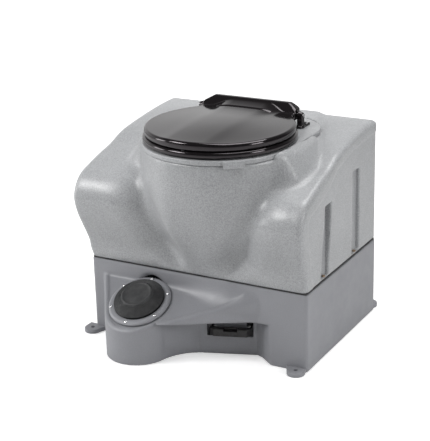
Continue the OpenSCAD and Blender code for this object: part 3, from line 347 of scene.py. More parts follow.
def tube(path: Array, radius: float, sides: int) -> tuple[Array, list[list[int]]]:
    """A round tube along a path, closed by a disc at each end.

    Args:
        path: points of the centre line.
        radius: the tube's radius.
        sides: points in each ring.

    Returns:
        The points and the faces. A ring is the path's point plus the radius times a circle across the path.
    """
    along = np.gradient(path, axis=0)
    along /= np.linalg.norm(along, axis=1, keepdims=True)
    across = np.cross(along, ASIDE)
    across /= np.linalg.norm(across, axis=1, keepdims=True)
    third = np.cross(along, across)
    a = circle(sides)[None, :, None]
    rings = path[:, None] + radius * (np.cos(a) * across[:, None] + np.sin(a) * third[:, None])
    return rings.reshape(-1, 3), bar_faces(len(path), sides)


def rounded(profile: Sequence[Sequence[float]], radii: Sequence[float], steps: int = 5) -> Array:
    """A closed profile whose corners are replaced by arcs that touch both sides.

    Args:
        profile: the corners, in order.
        radii: the radius at each corner.
        steps: stretches in each arc.

    Returns:
        The points of the rounded profile.
    """
    p = np.asarray(profile, float)
    out = []
    for k, r in enumerate(radii):
        a, b, c = p[k - 1], p[k], p[(k + 1) % len(p)]
        u, v = (a - b) / np.linalg.norm(a - b), (c - b) / np.linalg.norm(c - b)
        half = np.arccos(np.clip(u @ v, -1, 1)) / 2
        if r <= 0 or abs(half - np.pi / 2) < 1e-3:
            out.append(b[None])
            continue
        reach = r / np.tan(half)
        middle = b + (u + v) / np.linalg.norm(u + v) * r / np.sin(half)
        e0, e1 = b + u * reach - middle, b + v * reach - middle
        t = np.linspace(0, 1, steps + 1)[:, None]
        turn = np.arccos(np.clip(e0 @ e1 / (r * r), -1, 1))
        out.append(middle + (np.sin((1 - t) * turn) * e0 + np.sin(t * turn) * e1) / np.sin(turn))
    return np.concatenate(out)


# ---------------------------------------------------------------- finishes


def set_range(node: bpy.types.Node, start: float, end: float, low: float, high: float) -> None:
    """Sets a Map Range node.

    Args:
        node: the node.
        start, end: the range that it reads.
        low, high: the range that it gives.
    """
    for key, value in (("From Min", start), ("From Max", end), ("To Min", low), ("To Max", high)):
        node.inputs[key].default_value = value


class Nodes:
    """A small helper that adds shader nodes to a new material and joins their sockets."""

    def __init__(self, name: str) -> None:
        """Starts a material with a Principled shader.

        Args:
            name: the material's name.
        """
        self.material = bpy.data.materials.new(name)
        self.material.use_nodes = True
        self.tree = self.material.node_tree
        self.shader = self.tree.nodes["Principled BSDF"]
        self.place = self.tree.nodes.new("ShaderNodeTexCoord").outputs["Object"]

    def add(self, kind: str, **values: object) -> bpy.types.Node:
        """Adds a node and sets its properties.

        Args:
            kind: the node's type.
            **values: its properties.

        Returns:
            The node.
        """
        node = self.tree.nodes.new(kind)
        for key, value in values.items():
            setattr(node, key, value)
        return node

    def join(self, start: bpy.types.NodeSocket, end: bpy.types.NodeSocket) -> None:
        """Joins an output to an input."""
        self.tree.links.new(start, end)

    def noise(self, scale: float, detail: float = 2.0, stretch: Colour = (1, 1, 1)) -> bpy.types.NodeSocket:
        """Adds noise on Object coordinates.

        Args:
            scale: features a metre.
            detail: how many finer layers it has.
            stretch: factors on the coordinates.

        Returns:
            The noise's value.
        """
        mapping = self.add("ShaderNodeMapping")
        mapping.inputs["Scale"].default_value = stretch
        self.join(self.place, mapping.inputs["Vector"])
        node = self.add("ShaderNodeTexNoise")
        node.inputs["Scale"].default_value = scale
        node.inputs["Detail"].default_value = detail
        self.join(mapping.outputs[0], node.inputs["Vector"])
        return node.outputs["Fac"]

    def ramp(
        self, value: bpy.types.NodeSocket, stops: Sequence[tuple[float, Colour]]
    ) -> bpy.types.NodeSocket:
        """Adds a colour ramp.

        Args:
            value: what it reads.
            stops: places from 0 to 1, each with its colour.

        Returns:
            The colour.
        """
        node = self.add("ShaderNodeValToRGB")
        while len(node.color_ramp.elements) < len(stops):
            node.color_ramp.elements.new(0.5)
        for element, (at, colour) in zip(node.color_ramp.elements, stops):
            element.position = at
            element.color = (*colour, 1)
        self.join(value, node.inputs["Fac"])
        return node.outputs["Color"]

    def product(self, a: bpy.types.NodeSocket, b: bpy.types.NodeSocket) -> bpy.types.NodeSocket:
        """Multiplies two colours.

        Args:
            a, b: the colours.

        Returns:
            The product.
        """
        node = self.add("ShaderNodeMix", data_type="RGBA", blend_type="MULTIPLY")
        node.inputs["Factor"].default_value = 1.0
        self.join(a, node.inputs["A"])
        self.join(b, node.inputs["B"])
        return node.outputs["Result"]

    def spread(self, value: bpy.types.NodeSocket, low: float, high: float) -> bpy.types.NodeSocket:
        """Maps a noise's usual values, 0.3 to 0.7, to a range.

        Args:
            value: what it reads.
            low, high: the range.

        Returns:
            The mapped value.
        """
        node = self.add("ShaderNodeMapRange")
        set_range(node, 0.3, 0.7, low, high)
        self.join(value, node.inputs["Value"])
        return node.outputs["Result"]

    def bump(self, value: bpy.types.NodeSocket, height: float) -> None:
        """Lets a value raise the surface.

        Args:
            value: how much of the height it has, from 0 to 1.
            height: the height in metres.
        """
        node = self.add("ShaderNodeBump")
        node.inputs["Strength"].default_value = 1.0
        node.inputs["Distance"].default_value = height
        self.join(value, node.inputs["Height"])
        self.join(node.outputs["Normal"], self.shader.inputs["Normal"])


@dataclass(frozen=True)
class Plastic:
    """Moulded plastic with faint clouds of tone, a fine grain and an uneven gloss.

    The scales grain, clouds, fine, coarse and shine are features a metre, and grain_height is in metres.
    """

    name: str
    colour: Colour
    gloss: tuple[float, float]
    tint: Colour = (1.0, 1.0, 1.0)
    speckle: float = 0.0
    grain: float = 900.0
    grain_height: float = 0.00004
    clouds: float = 9.0
    cloud_tones: tuple[float, float] = (0.96, 1.04)
    fine: float = 620.0
    coarse: float = 300.0
    shine: float = 35.0

    def tone(self, factor: float) -> Colour:
        """The colour made darker or lighter by a factor."""
        return tuple(min(c * factor, 1.0) for c in self.colour)

    def material(self) -> bpy.types.Material:
        """Builds the material: clouds and specks multiply the colour, and the grain raises the surface.

        Returns:
            The material.
        """
        m = Nodes(self.name)
        dark, light = self.cloud_tones
        colour = m.ramp(m.noise(self.clouds, 3.0), [(0.3, self.tone(dark)), (0.7, self.tone(light))])
        if self.speckle:
            low, high, half = 1 - self.speckle, 1 + self.speckle, self.speckle / 2
            stops = [(0.36, (low,) * 3), (0.5, (1, 1, 1)), (0.66, (high,) * 3)]
            specks = m.ramp(m.noise(self.fine, 1.0), stops)
            spots = m.ramp(m.noise(self.coarse, 1.0), [(0.36, (1 - half,) * 3), (0.64, (1 + half,) * 3)])
            colour = m.product(m.product(colour, specks), spots)
        m.join(colour, m.shader.inputs["Base Color"])
        m.join(m.spread(m.noise(self.shine, 3.0), *self.gloss), m.shader.inputs["Roughness"])
        m.shader.inputs["Specular Tint"].default_value = (*self.tint, 1.0)
        m.bump(m.noise(self.grain, 2.0), self.grain_height)
        return m.material


@dataclass(frozen=True)
class Rubber:
    """Matt rubber with a dusty bloom and a fine skin. Scales are features a metre, heights in metres."""

    name: str
    colour: Colour
    dust: Colour
    rough: tuple[float, float] = (0.5, 0.68)
    bloom: float = 60.0
    shine: float = 90.0
    grain: float = 1500.0
    grain_height: float = 0.00005

    def material(self) -> bpy.types.Material:
        """Builds the material: a bloom of dust over the colour, rough, with a fine grain.

        Returns:
            The material.
        """
        m = Nodes(self.name)
        bloom = m.ramp(m.noise(self.bloom, 4.0), [(0.35, self.colour), (0.75, self.dust)])
        m.join(bloom, m.shader.inputs["Base Color"])
        m.join(m.spread(m.noise(self.shine, 2.0), *self.rough), m.shader.inputs["Roughness"])
        m.bump(m.noise(self.grain, 2.0), self.grain_height)
        return m.material


@dataclass(frozen=True)
class Metal:
    """Drawn or turned metal with fine marks along one direction. Scales are features a metre."""

    name: str
    colour: Colour
    rough: tuple[float, float]
    stretch: Colour = (0.1, 1.0, 1.0)
    marks: float = 1400.0
    mark_tone: float = 0.82
    mark_height: float = 0.00001
    shine: float = 120.0

    def material(self) -> bpy.types.Material:
        """Builds the material: stretched noise varies the tone, the roughness and the surface.

        Returns:
            The material.
        """
        m = Nodes(self.name)
        marks = m.noise(self.marks, 2.0, self.stretch)
        dark = tuple(c * self.mark_tone for c in self.colour)
        m.join(m.ramp(marks, [(0.35, dark), (0.65, self.colour)]), m.shader.inputs["Base Color"])
        m.shader.inputs["Metallic"].default_value = 1.0
        m.join(m.spread(m.noise(self.shine, 3.0), *self.rough), m.shader.inputs["Roughness"])
        m.bump(marks, self.mark_height)
        return m.material


class Finish(Enum):
    """The finishes of this object, by the name of the record's material slot."""

    SHELL = Plastic("shell", (0.335, 0.341, 0.350), (0.28, 0.38), speckle=0.18, grain_height=0.000015)
    BASE = Plastic("base", (0.245, 0.248, 0.266), (0.36, 0.48), speckle=0.03, grain_height=0.00002)
    SEAT_BLACK = Plastic(
        "seat_black",
        (0.0075, 0.0065, 0.0070),
        (0.07, 0.12),
        tint=(1.0, 0.92, 0.97),
        grain=260.0,
        grain_height=0.000006,
    )
    BLACK_PLASTIC = Plastic("black_plastic", (0.011, 0.010, 0.010), (0.38, 0.5))
    DARK_PLASTIC = Plastic("dark_plastic", (0.045, 0.047, 0.052), (0.42, 0.55))
    HOSE = Plastic("hose", (0.14, 0.15, 0.16), (0.3, 0.42))
    RUBBER = Rubber("rubber", (0.022, 0.0225, 0.024), (0.045, 0.045, 0.046))
    STEEL = Metal("steel", (0.60, 0.60, 0.61), (0.25, 0.4))
    BRIGHT_STEEL = Metal("bright_steel", (0.86, 0.86, 0.87), (0.15, 0.28), (1.0, 1.0, 1.0))
    BROWN_STEEL = Metal("brown_steel", (0.40, 0.30, 0.22), (0.4, 0.6), (1.0, 1.0, 1.0))


class Workshop:
    """Makes objects out of arrays, keeps one material of each finish, and logs each piece."""

    def __init__(self) -> None:
        """Builds every finish's material once."""
        self.materials = {f: f.value.material() for f in Finish}

    def piece(
        self,
        name: str,
        points: Array,
        faces: Array | list[list[int]],
        finish: Finish,
        crease: float = 38.0,
    ) -> bpy.types.Object:
        """Makes one mesh piece.

        Args:
            name: the piece's name.
            points: its points in millimetres.
            faces: its faces as lists of indices.
            finish: its finish.
            crease: edges that turn more than this many degrees stay sharp.

        Returns:
            The new object, at the origin.
        """
        mesh = bpy.data.meshes.new(name)
        rows = faces.tolist() if isinstance(faces, np.ndarray) else faces
        mesh.from_pydata((np.asarray(points, float) * METRES).tolist(), [], rows)
        mesh.update(calc_edges=True)
        mesh.polygons.foreach_set("use_smooth", np.ones(len(mesh.polygons), bool))
        mesh.set_sharp_from_angle(angle=np.radians(crease))
        mesh.materials.append(self.materials[finish])
        obj = bpy.data.objects.new(name, mesh)
        bpy.context.scene.collection.objects.link(obj)
        LOG.info("%s: %d points, %d faces", name, len(mesh.vertices), len(mesh.polygons))
        return obj

    def dress(self, frame: dict, nodes: dict[str, Finish]) -> None:
        """Gives CAD nodes that stay in view their materials.

        Args:
            nodes: the finish of each node by name.
        """
        for node, finish in nodes.items():
            mesh = frame["nodes"][node].data
            mesh.materials.clear()
            mesh.materials.append(self.materials[finish])


def turned(points: Array, x: float, y: float, angle: float) -> Array:
    """Points turned about +Z and then moved.

    Args:
        points: the points, one a row.
        x, y: how far they are moved.
        angle: the turn in degrees.

    Returns:
        The new points: cosine and sine of the turn mix their x and y.
    """
    c, s = np.cos(np.radians(angle)), np.sin(np.radians(angle))
    px, py, pz = points.T
    return np.stack([x + c * px - s * py, y + s * px + c * py, pz], 1)


# ---------------------------------------------------------------- the upper housing and its bowl


@dataclass
class DeckPlate:
    """The outline of the bowl's deck plate: a round front, straight sides and rounded rear corners."""

    x: float = 25.0
    y: float = -106.0
    r: float = 180.0
    straight: float = 130.0
    corner: float = 110.0
    top: float = 495.0
    lip: float = 12.0

    def distance(self, x: Array, y: Array) -> Array:
        """Distance to the outline in plan: a circle's in front, and behind it the sides' or the corners'.

        Args:
            x, y: where to measure.

        Returns:
            The distance, below zero inside.
        """
        dx, dy = np.abs(x - self.x), y - self.y
        front = np.hypot(dx, dy) - self.r
        past_side = np.maximum(dx - self.r + self.corner, 0)
        rear = np.hypot(past_side, np.maximum(dy - self.straight, 0)) - self.corner
        flat = np.maximum(dx - self.r, dy - self.straight - self.corner)
        at_corner = (dx > self.r - self.corner) & (dy > self.straight)
        return np.where(dy < 0, front, np.where(at_corner, rear, flat))

    def reach(self, angle: Array) -> Array:
        """Distance from the bowl's axis to the outline in each direction."""
        c, s = np.cos(angle), np.sin(angle)
        return halved(lambda t: self.distance(self.x + t * c, self.y + t * s) < 0, angle)


@dataclass
class Bowl:
    """The drop-in bowl: its funnel, its deck plate and the lip that hangs into the housing's pocket."""

    plate: DeckPlate
    heights: tuple[float, ...] = (191.0, 206.0, 216.0, 260.0, 340.0, 440.0, 490.0)
    radii: tuple[float, ...] = (48.0, 48.0, 62.0, 86.0, 120.0, 138.0, 140.0)
    levels: tuple[float, ...] = (
        191, 199, 206, 208, 212, 218, 228, 244, 260, 280, 300, 320, 340, 365, 390, 415, 440, 465, 484
    )
    mouth: float = 140.0
    mouth_round: float = 8.0
    edge_round: float = 3.0
    wall: float = 3.0
    deck_wall: float = 5.0
    lip_wall: float = 4.0
    hem: tuple[tuple[float, float], ...] = (
        (0.0, 2.4), (0.4, 1.4), (1.2, 1.0), (2.8, 1.0), (3.2, 0.0), (3.7, 0.0), (4.0, 0.8)
    )
    around: int = 240

    def radius(self, z: Array) -> Array:
        """Inner radius of the funnel at a height."""
        return np.interp(z, self.heights, self.radii)

    def build(self, shop: Workshop) -> bpy.types.Object:
        """Makes the bowl as rings carried round its axis.

        Each ring is at a share of the way from the funnel's circle to the plate's outline, so the rings
        change from round to the outline's form on the deck. They run up inside, over the deck, round the
        lip with its raised hem, and back underneath.

        Args:
            shop: makes the piece.

        Returns:
            The bowl.
        """
        angle = circle(self.around)
        top, edge = self.plate.top, self.plate.reach(angle)
        levels = np.array(self.levels, float)
        quarter = np.radians([0, 22, 45, 67, 90])
        rings = [(self.radius(z), z) for z in levels]
        r = self.mouth_round
        rings += [(self.mouth + r * (1 - np.cos(a)), top - r + r * np.sin(a)) for a in quarter]
        deck, r = self.mouth + r, self.edge_round
        rings += [(deck + share * (edge - r - deck), top) for share in (0.3, 0.65)]
        rings += [(edge - r + r * np.sin(a), top - r + r * np.cos(a)) for a in quarter]
        rings += [(edge - inward, top - self.plate.lip + above) for inward, above in self.hem]
        rings += [(edge - self.lip_wall, top - self.deck_wall), (deck - 1, top - self.deck_wall)]
        rings += [(self.radius(z) + self.wall, z) for z in levels[::-1]]
        points = ring_points(self.plate.x, self.plate.y, angle, rings)
        faces = grid_faces(len(rings), self.around, True, True)
        bowl = shop.piece("bowl_skin", points, faces, Finish.SHELL, 50)
        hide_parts("bowl")
        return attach(bowl, Body.HOUSING.value)


@dataclass
class UpperHousing:
    """The upper housing: rolled shoulders, a bell under the bowl, a plateau behind and grooves in the sides.

    A name that ends in _round is an edge's radius, and one that ends in _fill an inner corner's.
    """

    plate: DeckPlate
    bowl: Bowl
    half: float = 284.0
    side_round: float = 15.0
    front: float = -200.0
    rear: float = 200.0
    rear_round: float = 8.0
    low: float = 191.0
    low_round: float = 4.5
    roof_rear: float = 481.0
    roof_fall: float = 4.2
    roll_z: float = 356.0
    roll_out: float = 53.0
    roll_back: float = 4.0
    roll_round: float = 50.0
    swell: float = 11.0
    swell_deep: float = 300.0
    swell_from: float = 150.0
    swell_over: float = 110.0
    bell_low: float = 41.0
    bell_grow: float = 139.0
    bell_y: float = 42.0
    bell_back: float = 52.0
    bell_top: float = 470.0
    bell_round: float = 6.0
    bell_fill: float = 34.0
    valley_slope: float = 0.53
    valley_round: float = 30.0
    flank_at: float = 46.0
    flank_slope: float = 0.9
    flank_round: float = 40.0
    flank_fill: float = 30.0
    plateau_at: float = 130.0
    plateau_r: float = 196.0
    plateau_rear: float = 112.0
    plateau_lean: float = 27.0
    plateau_round: float = 8.0
    plateau_front: float = 22.0
    plateau_front_round: float = 30.0
    plateau_fill: float = 12.0
    chin_slope: float = 0.4
    chin_round: float = 8.0
    panel_depth: float = 1.6
    panel_in: float = 40.0
    panel_round: float = 1.5
    pocket_gap: float = 1.4
    pocket_round: float = 1.8
    funnel_gap: float = 5.0
    funnel_share: float = 0.85
    cap_at: tuple[float, float] = CAP_AT
    cap_r: float = 24.4
    cap_floor: float = 491.0
    cap_round: float = 1.2
    grooves: tuple[tuple[float, float, float], ...] = ((80, 40, 371), (255, 42, 400))
    groove_low: float = 6.0
    groove_corner: float = 4.0
    groove_depth: float = 10.0
    groove_round: float = 2.5
    cell: float = 3.9

    def roof(self, y: Array) -> Array:
        """Height of the shoulders, falling with the square of the distance from the rear wall."""
        return self.roof_rear - self.roof_fall * ((self.rear - y) / 100) ** 2

    def rise(self, z: Array) -> Array:
        """Smooth share of the way from the joint up to the roll."""
        return ease((z - self.low) / (self.roll_z - self.low))

    def roll_front(self, z: Array) -> Array:
        """Where the front of the shoulders is at a height: it eases out towards the roll."""
        return self.front - self.roll_back - (self.roll_out - self.roll_back) * self.rise(z)

    def plateau(self, x: Array, y: Array, z: Array) -> Array:
        """The plateau: a rounded outline whose sides lean, under a level top, limited at the front.

        Args:
            x, y, z: where to measure.

        Returns:
            The distance, below zero inside. In plan it is a circle's, and behind the tangent that of a line
            from the circle to the rear corner.
        """
        y0, r = self.front + self.plateau_at, self.plateau_r
        long = np.hypot(self.rear - y0, self.plateau_rear)
        turn = np.arctan2(self.rear - y0, self.plateau_rear) - np.arccos(r / long)
        dx, dy = np.abs(x - self.plate.x), y - y0
        line = dx * np.cos(turn) + dy * np.sin(turn)
        plan = np.where(np.arctan2(dy, dx) > turn, line, np.hypot(dx, dy)) - r
        lean, over = np.radians(self.plateau_lean), z - self.plate.top
        top = round_max(plan * np.cos(lean) + over * np.sin(lean), over, self.plateau_round)
        return round_max(top, self.front + self.plateau_front - y, self.plateau_front_round)

    def swollen(self, x: Array, y: Array, z: Array) -> Array:
        """Takes the sideways swell of the shoulders off x, by repeated substitution.

        Args:
            x, y, z: where to measure.

        Returns:
            The x at which the form without its swell is as far away.
        """
        share = self.swell * self.rise(z) * (1 - ease((y - self.front) / self.swell_deep))
        at = x
        for _ in range(3):
            at = x - np.sign(at) * share * ease((np.abs(at) - self.swell_from) / self.swell_over)
        return at

    def form(self, x: Array, y: Array, z: Array) -> Array:
        """The outer form, as one distance: shoulders, valleys, bell and plateau with soft joints.

        Args:
            x, y, z: where to measure.

        Returns:
            The distance, below zero inside. The bell's radius follows a quarter of a sine up its height, and
            the flanks cut the shoulders away along a slope from the bell.
        """
        x = self.swollen(x, y, z)
        roll, roof, up = self.roll_front(z), self.roof(y), z - self.low
        rise = up / (self.bell_top - self.low)
        bell_r = self.bell_low + self.bell_grow * np.sin(np.pi / 2 * np.clip(rise, 0, 1))
        bell = np.hypot(x - self.plate.x, y - (self.front + self.bell_y + self.bell_back * rise)) - bell_r
        shoulder = round_max(roll - y, z - roof, self.roll_round)
        floor = self.front - self.roll_back + up * self.valley_slope - y
        valley = round_max(floor * np.cos(np.arctan(self.valley_slope)), z - roof, self.valley_round)
        flank = (self.flank_at - bell - (y - roll) * self.flank_slope) / np.hypot(1, self.flank_slope)
        body = round_min(valley, round_max(shoulder, flank, self.flank_round), self.flank_fill)
        funnel = round_min(body, round_max(bell, z - self.plate.top, self.bell_round), self.bell_fill)
        whole = round_min(funnel, self.plateau(x, y, z), self.plateau_fill)
        whole = round_max(whole, self.front - 1 - self.chin_slope * up - y, self.chin_round)
        panel = np.maximum(whole + self.panel_in, self.half - self.panel_depth - np.abs(x))
        whole = round_max(whole, np.abs(x) - self.half, self.side_round)
        return round_max(whole, -panel, self.panel_round)

    def field(self, x: Array, y: Array, z: Array) -> Array:
        """The form with its flat rear and underside, the bowl's pocket, the cap's seat and the grooves.

        Args:
            x, y, z: where to measure.

        Returns:
            The distance, below zero in the solid.
        """
        plate = self.plate
        f = round_max(self.form(x, y, z), y - self.rear, self.rear_round)
        f = round_max(f, self.low - z, self.low_round)
        pocket = np.maximum(plate.distance(x, y) - self.pocket_gap, plate.top - plate.lip - z)
        f = round_max(f, -pocket, self.pocket_round)
        funnel = np.hypot(x - plate.x, y - plate.y) - self.bowl.radius(z) - self.funnel_gap
        f = np.maximum(f, -funnel * self.funnel_share)
        away = np.hypot(x - self.cap_at[0], y - self.cap_at[1])
        cap = np.maximum(away - self.cap_r, self.cap_floor - z)
        f = round_max(f, -cap, self.cap_round)
        for start, width, top in self.grooves:
            y0 = self.front + start
            low, high = (y0, self.low + self.groove_low), (y0 + width, top)
            cut = box_distance(y, z, low, high, self.groove_corner)
            cut = np.maximum(cut, self.half - self.groove_depth - np.abs(x))
            f = round_max(f, -cut, self.groove_round)
        return f

    def build(self, shop: Workshop) -> bpy.types.Object:
        """Makes the housing's skin from its field.

        Args:
            shop: makes the piece.

        Returns:
            The housing.
        """
        points, faces = skin_of(self.field, (-301, -296, 186), (301, 206, 502), self.cell)
        shell = shop.piece("upper_housing_skin", points, faces, Finish.SHELL, 70)
        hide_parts("upper_housing")
        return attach(shell, Body.HOUSING.value)


# ---------------------------------------------------------------- the base


@dataclass
class Mechanism:
    """The turned frame of the pedal: X along the pedal, Y into the base, and its pivot's place in it."""

    x: float = 86.4805
    y: float = -186.8348
    turn: float = 19.6
    pivot_y: float = 22.0
    pivot_z: float = 64.0

    def local(self, x: Array, y: Array) -> tuple[Array, Array]:
        """A point's place in this frame."""
        c, s = np.cos(np.radians(self.turn)), np.sin(np.radians(self.turn))
        return (x - self.x) * c + (y - self.y) * s, (y - self.y) * c - (x - self.x) * s

    def world(self, points: Array) -> Array:
        """Points of this frame in the part's frame."""
        return turned(points, self.x, self.y, self.turn)


@dataclass
class PumpAxis:
    """The foot pump's tilted frame: Z along its axis, and its origin on the deck."""

    x: float = -115.0
    y: float = -259.0
    z: float = 124.223
    tilt: float = 26.0

    def slope(self) -> tuple[float, float]:
        """Cosine and sine of the tilt."""
        return np.cos(np.radians(self.tilt)), np.sin(np.radians(self.tilt))

    def local(self, y: Array, z: Array) -> tuple[Array, Array]:
        """A point's way up the slope and out along the axis."""
        (c, s), py, pz = self.slope(), y - self.y, z - self.z
        return py * c + pz * s, pz * c - py * s

    def world(self, points: Array) -> Array:
        """Points of this frame in the part's frame."""
        (c, s), (px, py, pz) = self.slope(), points.T
        return np.stack([self.x + px, self.y + c * py - s * pz, self.z + s * py + c * pz], 1)


@dataclass
class BaseHousing:
    """The base: a box with a nose, a sloping deck, a toe recess, a tank and dry spaces.

    Each polygon lists its corners in plan, and each box its low and its high corner.
    """

    mechanism: Mechanism
    pump: PumpAxis
    nose: tuple[float, float, float] = (-118.0, -266.0, 77.0)
    nose_left: tuple[float, float] = (-250.0, -200.0)
    nose_right: tuple[float, float] = (155.0, -200.0)
    nose_deep: float = 20.0
    half: float = 284.0
    front: float = -200.0
    corner: float = 8.0
    height: float = 188.0
    top_round: float = 3.2
    foot_round: float = 2.0
    wall: float = 5.6
    cove_from: float = 14.0
    cove_in: float = 0.8
    cove_end: tuple[float, float] = (13.0, -213.0)
    cove_straight: float = 0.45
    bay_end: tuple[tuple[float, float], ...] = ((64.9, -194.5), (49.0, -180.0))
    recess_h: float = 98.0
    recess_round: float = 3.5
    recess_plan: tuple[tuple[float, float], ...] = (
        (13, -213), (142.06, -167.04), (157.06, -173.04), (191, -200), (191, -262), (13, -262)
    )
    deck_front: float = 153.0
    deck_round: float = 5.0
    ceiling_round: float = 4.0
    lip_in: float = 8.0
    lip_depth: float = 2.6
    lip_over: float = 3.5
    join_fill: float = 5.0
    sweep_fill: float = 36.0
    sweep_x: float = 78.0
    sweep_wide: float = 85.0
    sweep_low: float = 100.0
    sweep_over: float = 30.0
    seat_r: float = 75.6
    seat_low: float = -0.4
    seat_high: float = 45.0
    cup_r: float = 51.0
    cup_half: float = 30.0
    duct: tuple[tuple[float, float], ...] = ((-165, -210), (-65, -142))
    hollow_r: float = 71.3
    hollow_front: tuple[tuple[float, float], ...] = ((-160, -266), (-70, -147))
    hollow_shaft: tuple[tuple[float, float], ...] = ((-160, -195), (-70, -147))
    arm_space: tuple[float, float, float] = (35.7, 50.7, 76.0)
    left_space: tuple[float, float, float] = (-57.7, -35.7, 32.0)
    space_front: float = -6.0
    space_half: float = 18.0
    shaft_front: float = 5.0
    shaft_low: float = 46.0
    space_wall: float = 5.7
    cell: float = 3.9

    def tangent(self, px: float, py: float, side: int) -> tuple[float, float]:
        """Where the line from a point touches the nose's round end.

        Args:
            px, py: the point.
            side: 1 or -1, for one tangent or the other.

        Returns:
            The touching point: the radius, turned from the point's direction by an arc cosine.
        """
        x, y, r = self.nose
        a = np.arctan2(py - y, px - x) + side * np.arccos(r / np.hypot(px - x, py - y))
        return x + r * np.cos(a), y + r * np.sin(a)

    def cove(self) -> list[tuple[float, float]]:
        """The nose's hollow right side below the recess's ceiling.

        Returns:
            Ten points from the round end to the recess, on a mix of a quarter of an ellipse and a
            straight line.
        """
        nx, ny, r = self.nose
        a, t = np.radians(self.cove_from), np.radians(np.arange(0, 91, 10))
        ax, ay = nx + (r - self.cove_in) * np.cos(a), ny - (r - self.cove_in) * np.sin(a)
        (bx, by), line = self.cove_end, self.cove_straight
        x = ax + (1 - line) * (bx - ax) * (1 - np.cos(t)) + line * (bx - ax) * t / (np.pi / 2)
        y = ay + (1 - line) * (by - ay) * np.sin(t) + line * (by - ay) * t / (np.pi / 2)
        return list(zip(x, y))

    def nose_plans(self, x: Array, y: Array) -> tuple[Array, Array]:
        """Distances to the nose's plan above and below the recess's ceiling.

        Args:
            x, y: where to measure.

        Returns:
            The distance to the plan between the two tangents, and to the plan with the cove, each joined
            with the round end.
        """
        nx, ny, r = self.nose
        left, right, deep = self.nose_left, self.nose_right, self.nose_deep
        inner, touch = (left[0], left[1] + deep), self.tangent(*left, 1)
        round_end = np.hypot(x - nx, y - ny) - r
        far = [self.tangent(*right, -1), right, (right[0], right[1] + deep)]
        upper = polygon_distance(x, y, [inner, left, touch, *far])
        behind = (nx, left[1] + deep)
        wedge = polygon_distance(x, y, [inner, left, touch, (nx, ny), behind])
        bay = polygon_distance(x, y, [behind, (nx, ny), *self.cove(), *self.bay_end])
        return np.minimum(upper, round_end), np.minimum(np.minimum(wedge, bay), round_end)

    def recess(self, x: Array, y: Array, grow: float) -> Array:
        """Distance to the toe recess in plan, grown by an amount."""
        return polygon_distance(x, y, self.recess_plan) - grow

    def spaces(self, x: Array, y: Array, z: Array, wall: float) -> Array:
        """Distance to the dry spaces for the pedal's arms and rod, with walls added.

        Args:
            x, y, z: where to measure.
            wall: thickness to add all round.

        Returns:
            The least of three boxes' distances, below zero inside.
        """
        u, v = self.mechanism.local(x, y)
        level = np.abs(z - self.mechanism.pivot_z) - self.space_half - wall
        low, high, rear = self.arm_space
        corner = (high + wall, rear + wall)
        arms = np.maximum(box_distance(u, v, (low - wall, self.space_front), corner), level)
        shaft = box_distance(u, v, (low - wall, self.shaft_front - wall), corner)
        shaft = np.maximum(shaft, self.shaft_low - wall - z)
        low, high, rear = self.left_space
        left = box_distance(u, v, (low - wall, self.space_front), (high + wall, rear + wall))
        return np.minimum(np.minimum(arms, shaft), np.maximum(left, level))

    def outside(self, x: Array, y: Array, z: Array) -> tuple[Array, Array]:
        """The outer form: the box and the nose under its lipped deck, softly joined, less the toe recess.

        Args:
            x, y, z: where to measure.

        Returns:
            The distance to the form, and the distance to the deck's plane.
        """
        plan = box_distance(x, y, (-self.half, self.front), (self.half, -self.front), self.corner)
        box = round_max(round_max(plan, z - self.height, self.top_round), -z, self.foot_round)
        upper, lower = self.nose_plans(x, y)
        nose = np.minimum(lower, round_max(upper, self.recess_h - z, self.ceiling_round))
        tilt = np.radians(self.pump.tilt)
        deck = (z - self.deck_front - (y - self.front) * np.tan(tilt)) * np.cos(tilt)
        deck = deck + self.lip_depth * ease((-upper - self.lip_in) / self.lip_over)
        nose = round_max(round_max(nose, deck, self.deck_round), -z, self.foot_round)
        sweep = np.exp(-(((x - self.sweep_x) / self.sweep_wide) ** 2))
        soft = self.join_fill + self.sweep_fill * sweep * ease((z - self.sweep_low) / self.sweep_over)
        f = np.maximum(round_min(box, nose, soft), -z)
        recess = np.maximum(self.recess(x, y, 0), z - self.recess_h)
        return round_max(f, -recess, self.recess_round), deck

    def field(self, x: Array, y: Array, z: Array) -> Array:
        """The base as one distance: the outer form less the pump's seat, the tank, the nose and the spaces.

        Args:
            x, y, z: where to measure.

        Returns:
            The distance, below zero in the solid.
        """
        f, deck = self.outside(x, y, z)
        v, w = self.pump.local(y, z)
        across = np.hypot(x - self.pump.x, v)
        seat = np.maximum(across - self.seat_r, np.maximum(self.seat_low - w, w - self.seat_high))
        f = np.maximum(f, -seat)
        plan = box_distance(x, y, (-self.half, self.front), (self.half, -self.front), self.corner)
        tank = np.maximum(plan + self.wall, self.wall - z)
        keep = np.maximum(self.recess(x, y, self.wall), z - self.recess_h - self.wall)
        keep = np.minimum(keep, box_distance(x, y, *self.duct))
        keep = np.minimum(keep, self.spaces(x, y, z, self.space_wall))
        f = np.maximum(f, -np.maximum(tank, -keep))
        under = deck + self.wall + 4
        hollow = np.maximum(np.hypot(x - self.nose[0], y - self.nose[1]) - self.hollow_r, under)
        hollow = np.minimum(hollow, np.maximum(box_distance(x, y, *self.hollow_front), under))
        hollow = np.minimum(hollow, box_distance(x, y, *self.hollow_shaft))
        hollow = np.minimum(hollow, np.maximum(across - self.cup_r, np.abs(w) - self.cup_half))
        f = np.maximum(f, -hollow)
        return np.maximum(f, -self.spaces(x, y, z, 0.0))

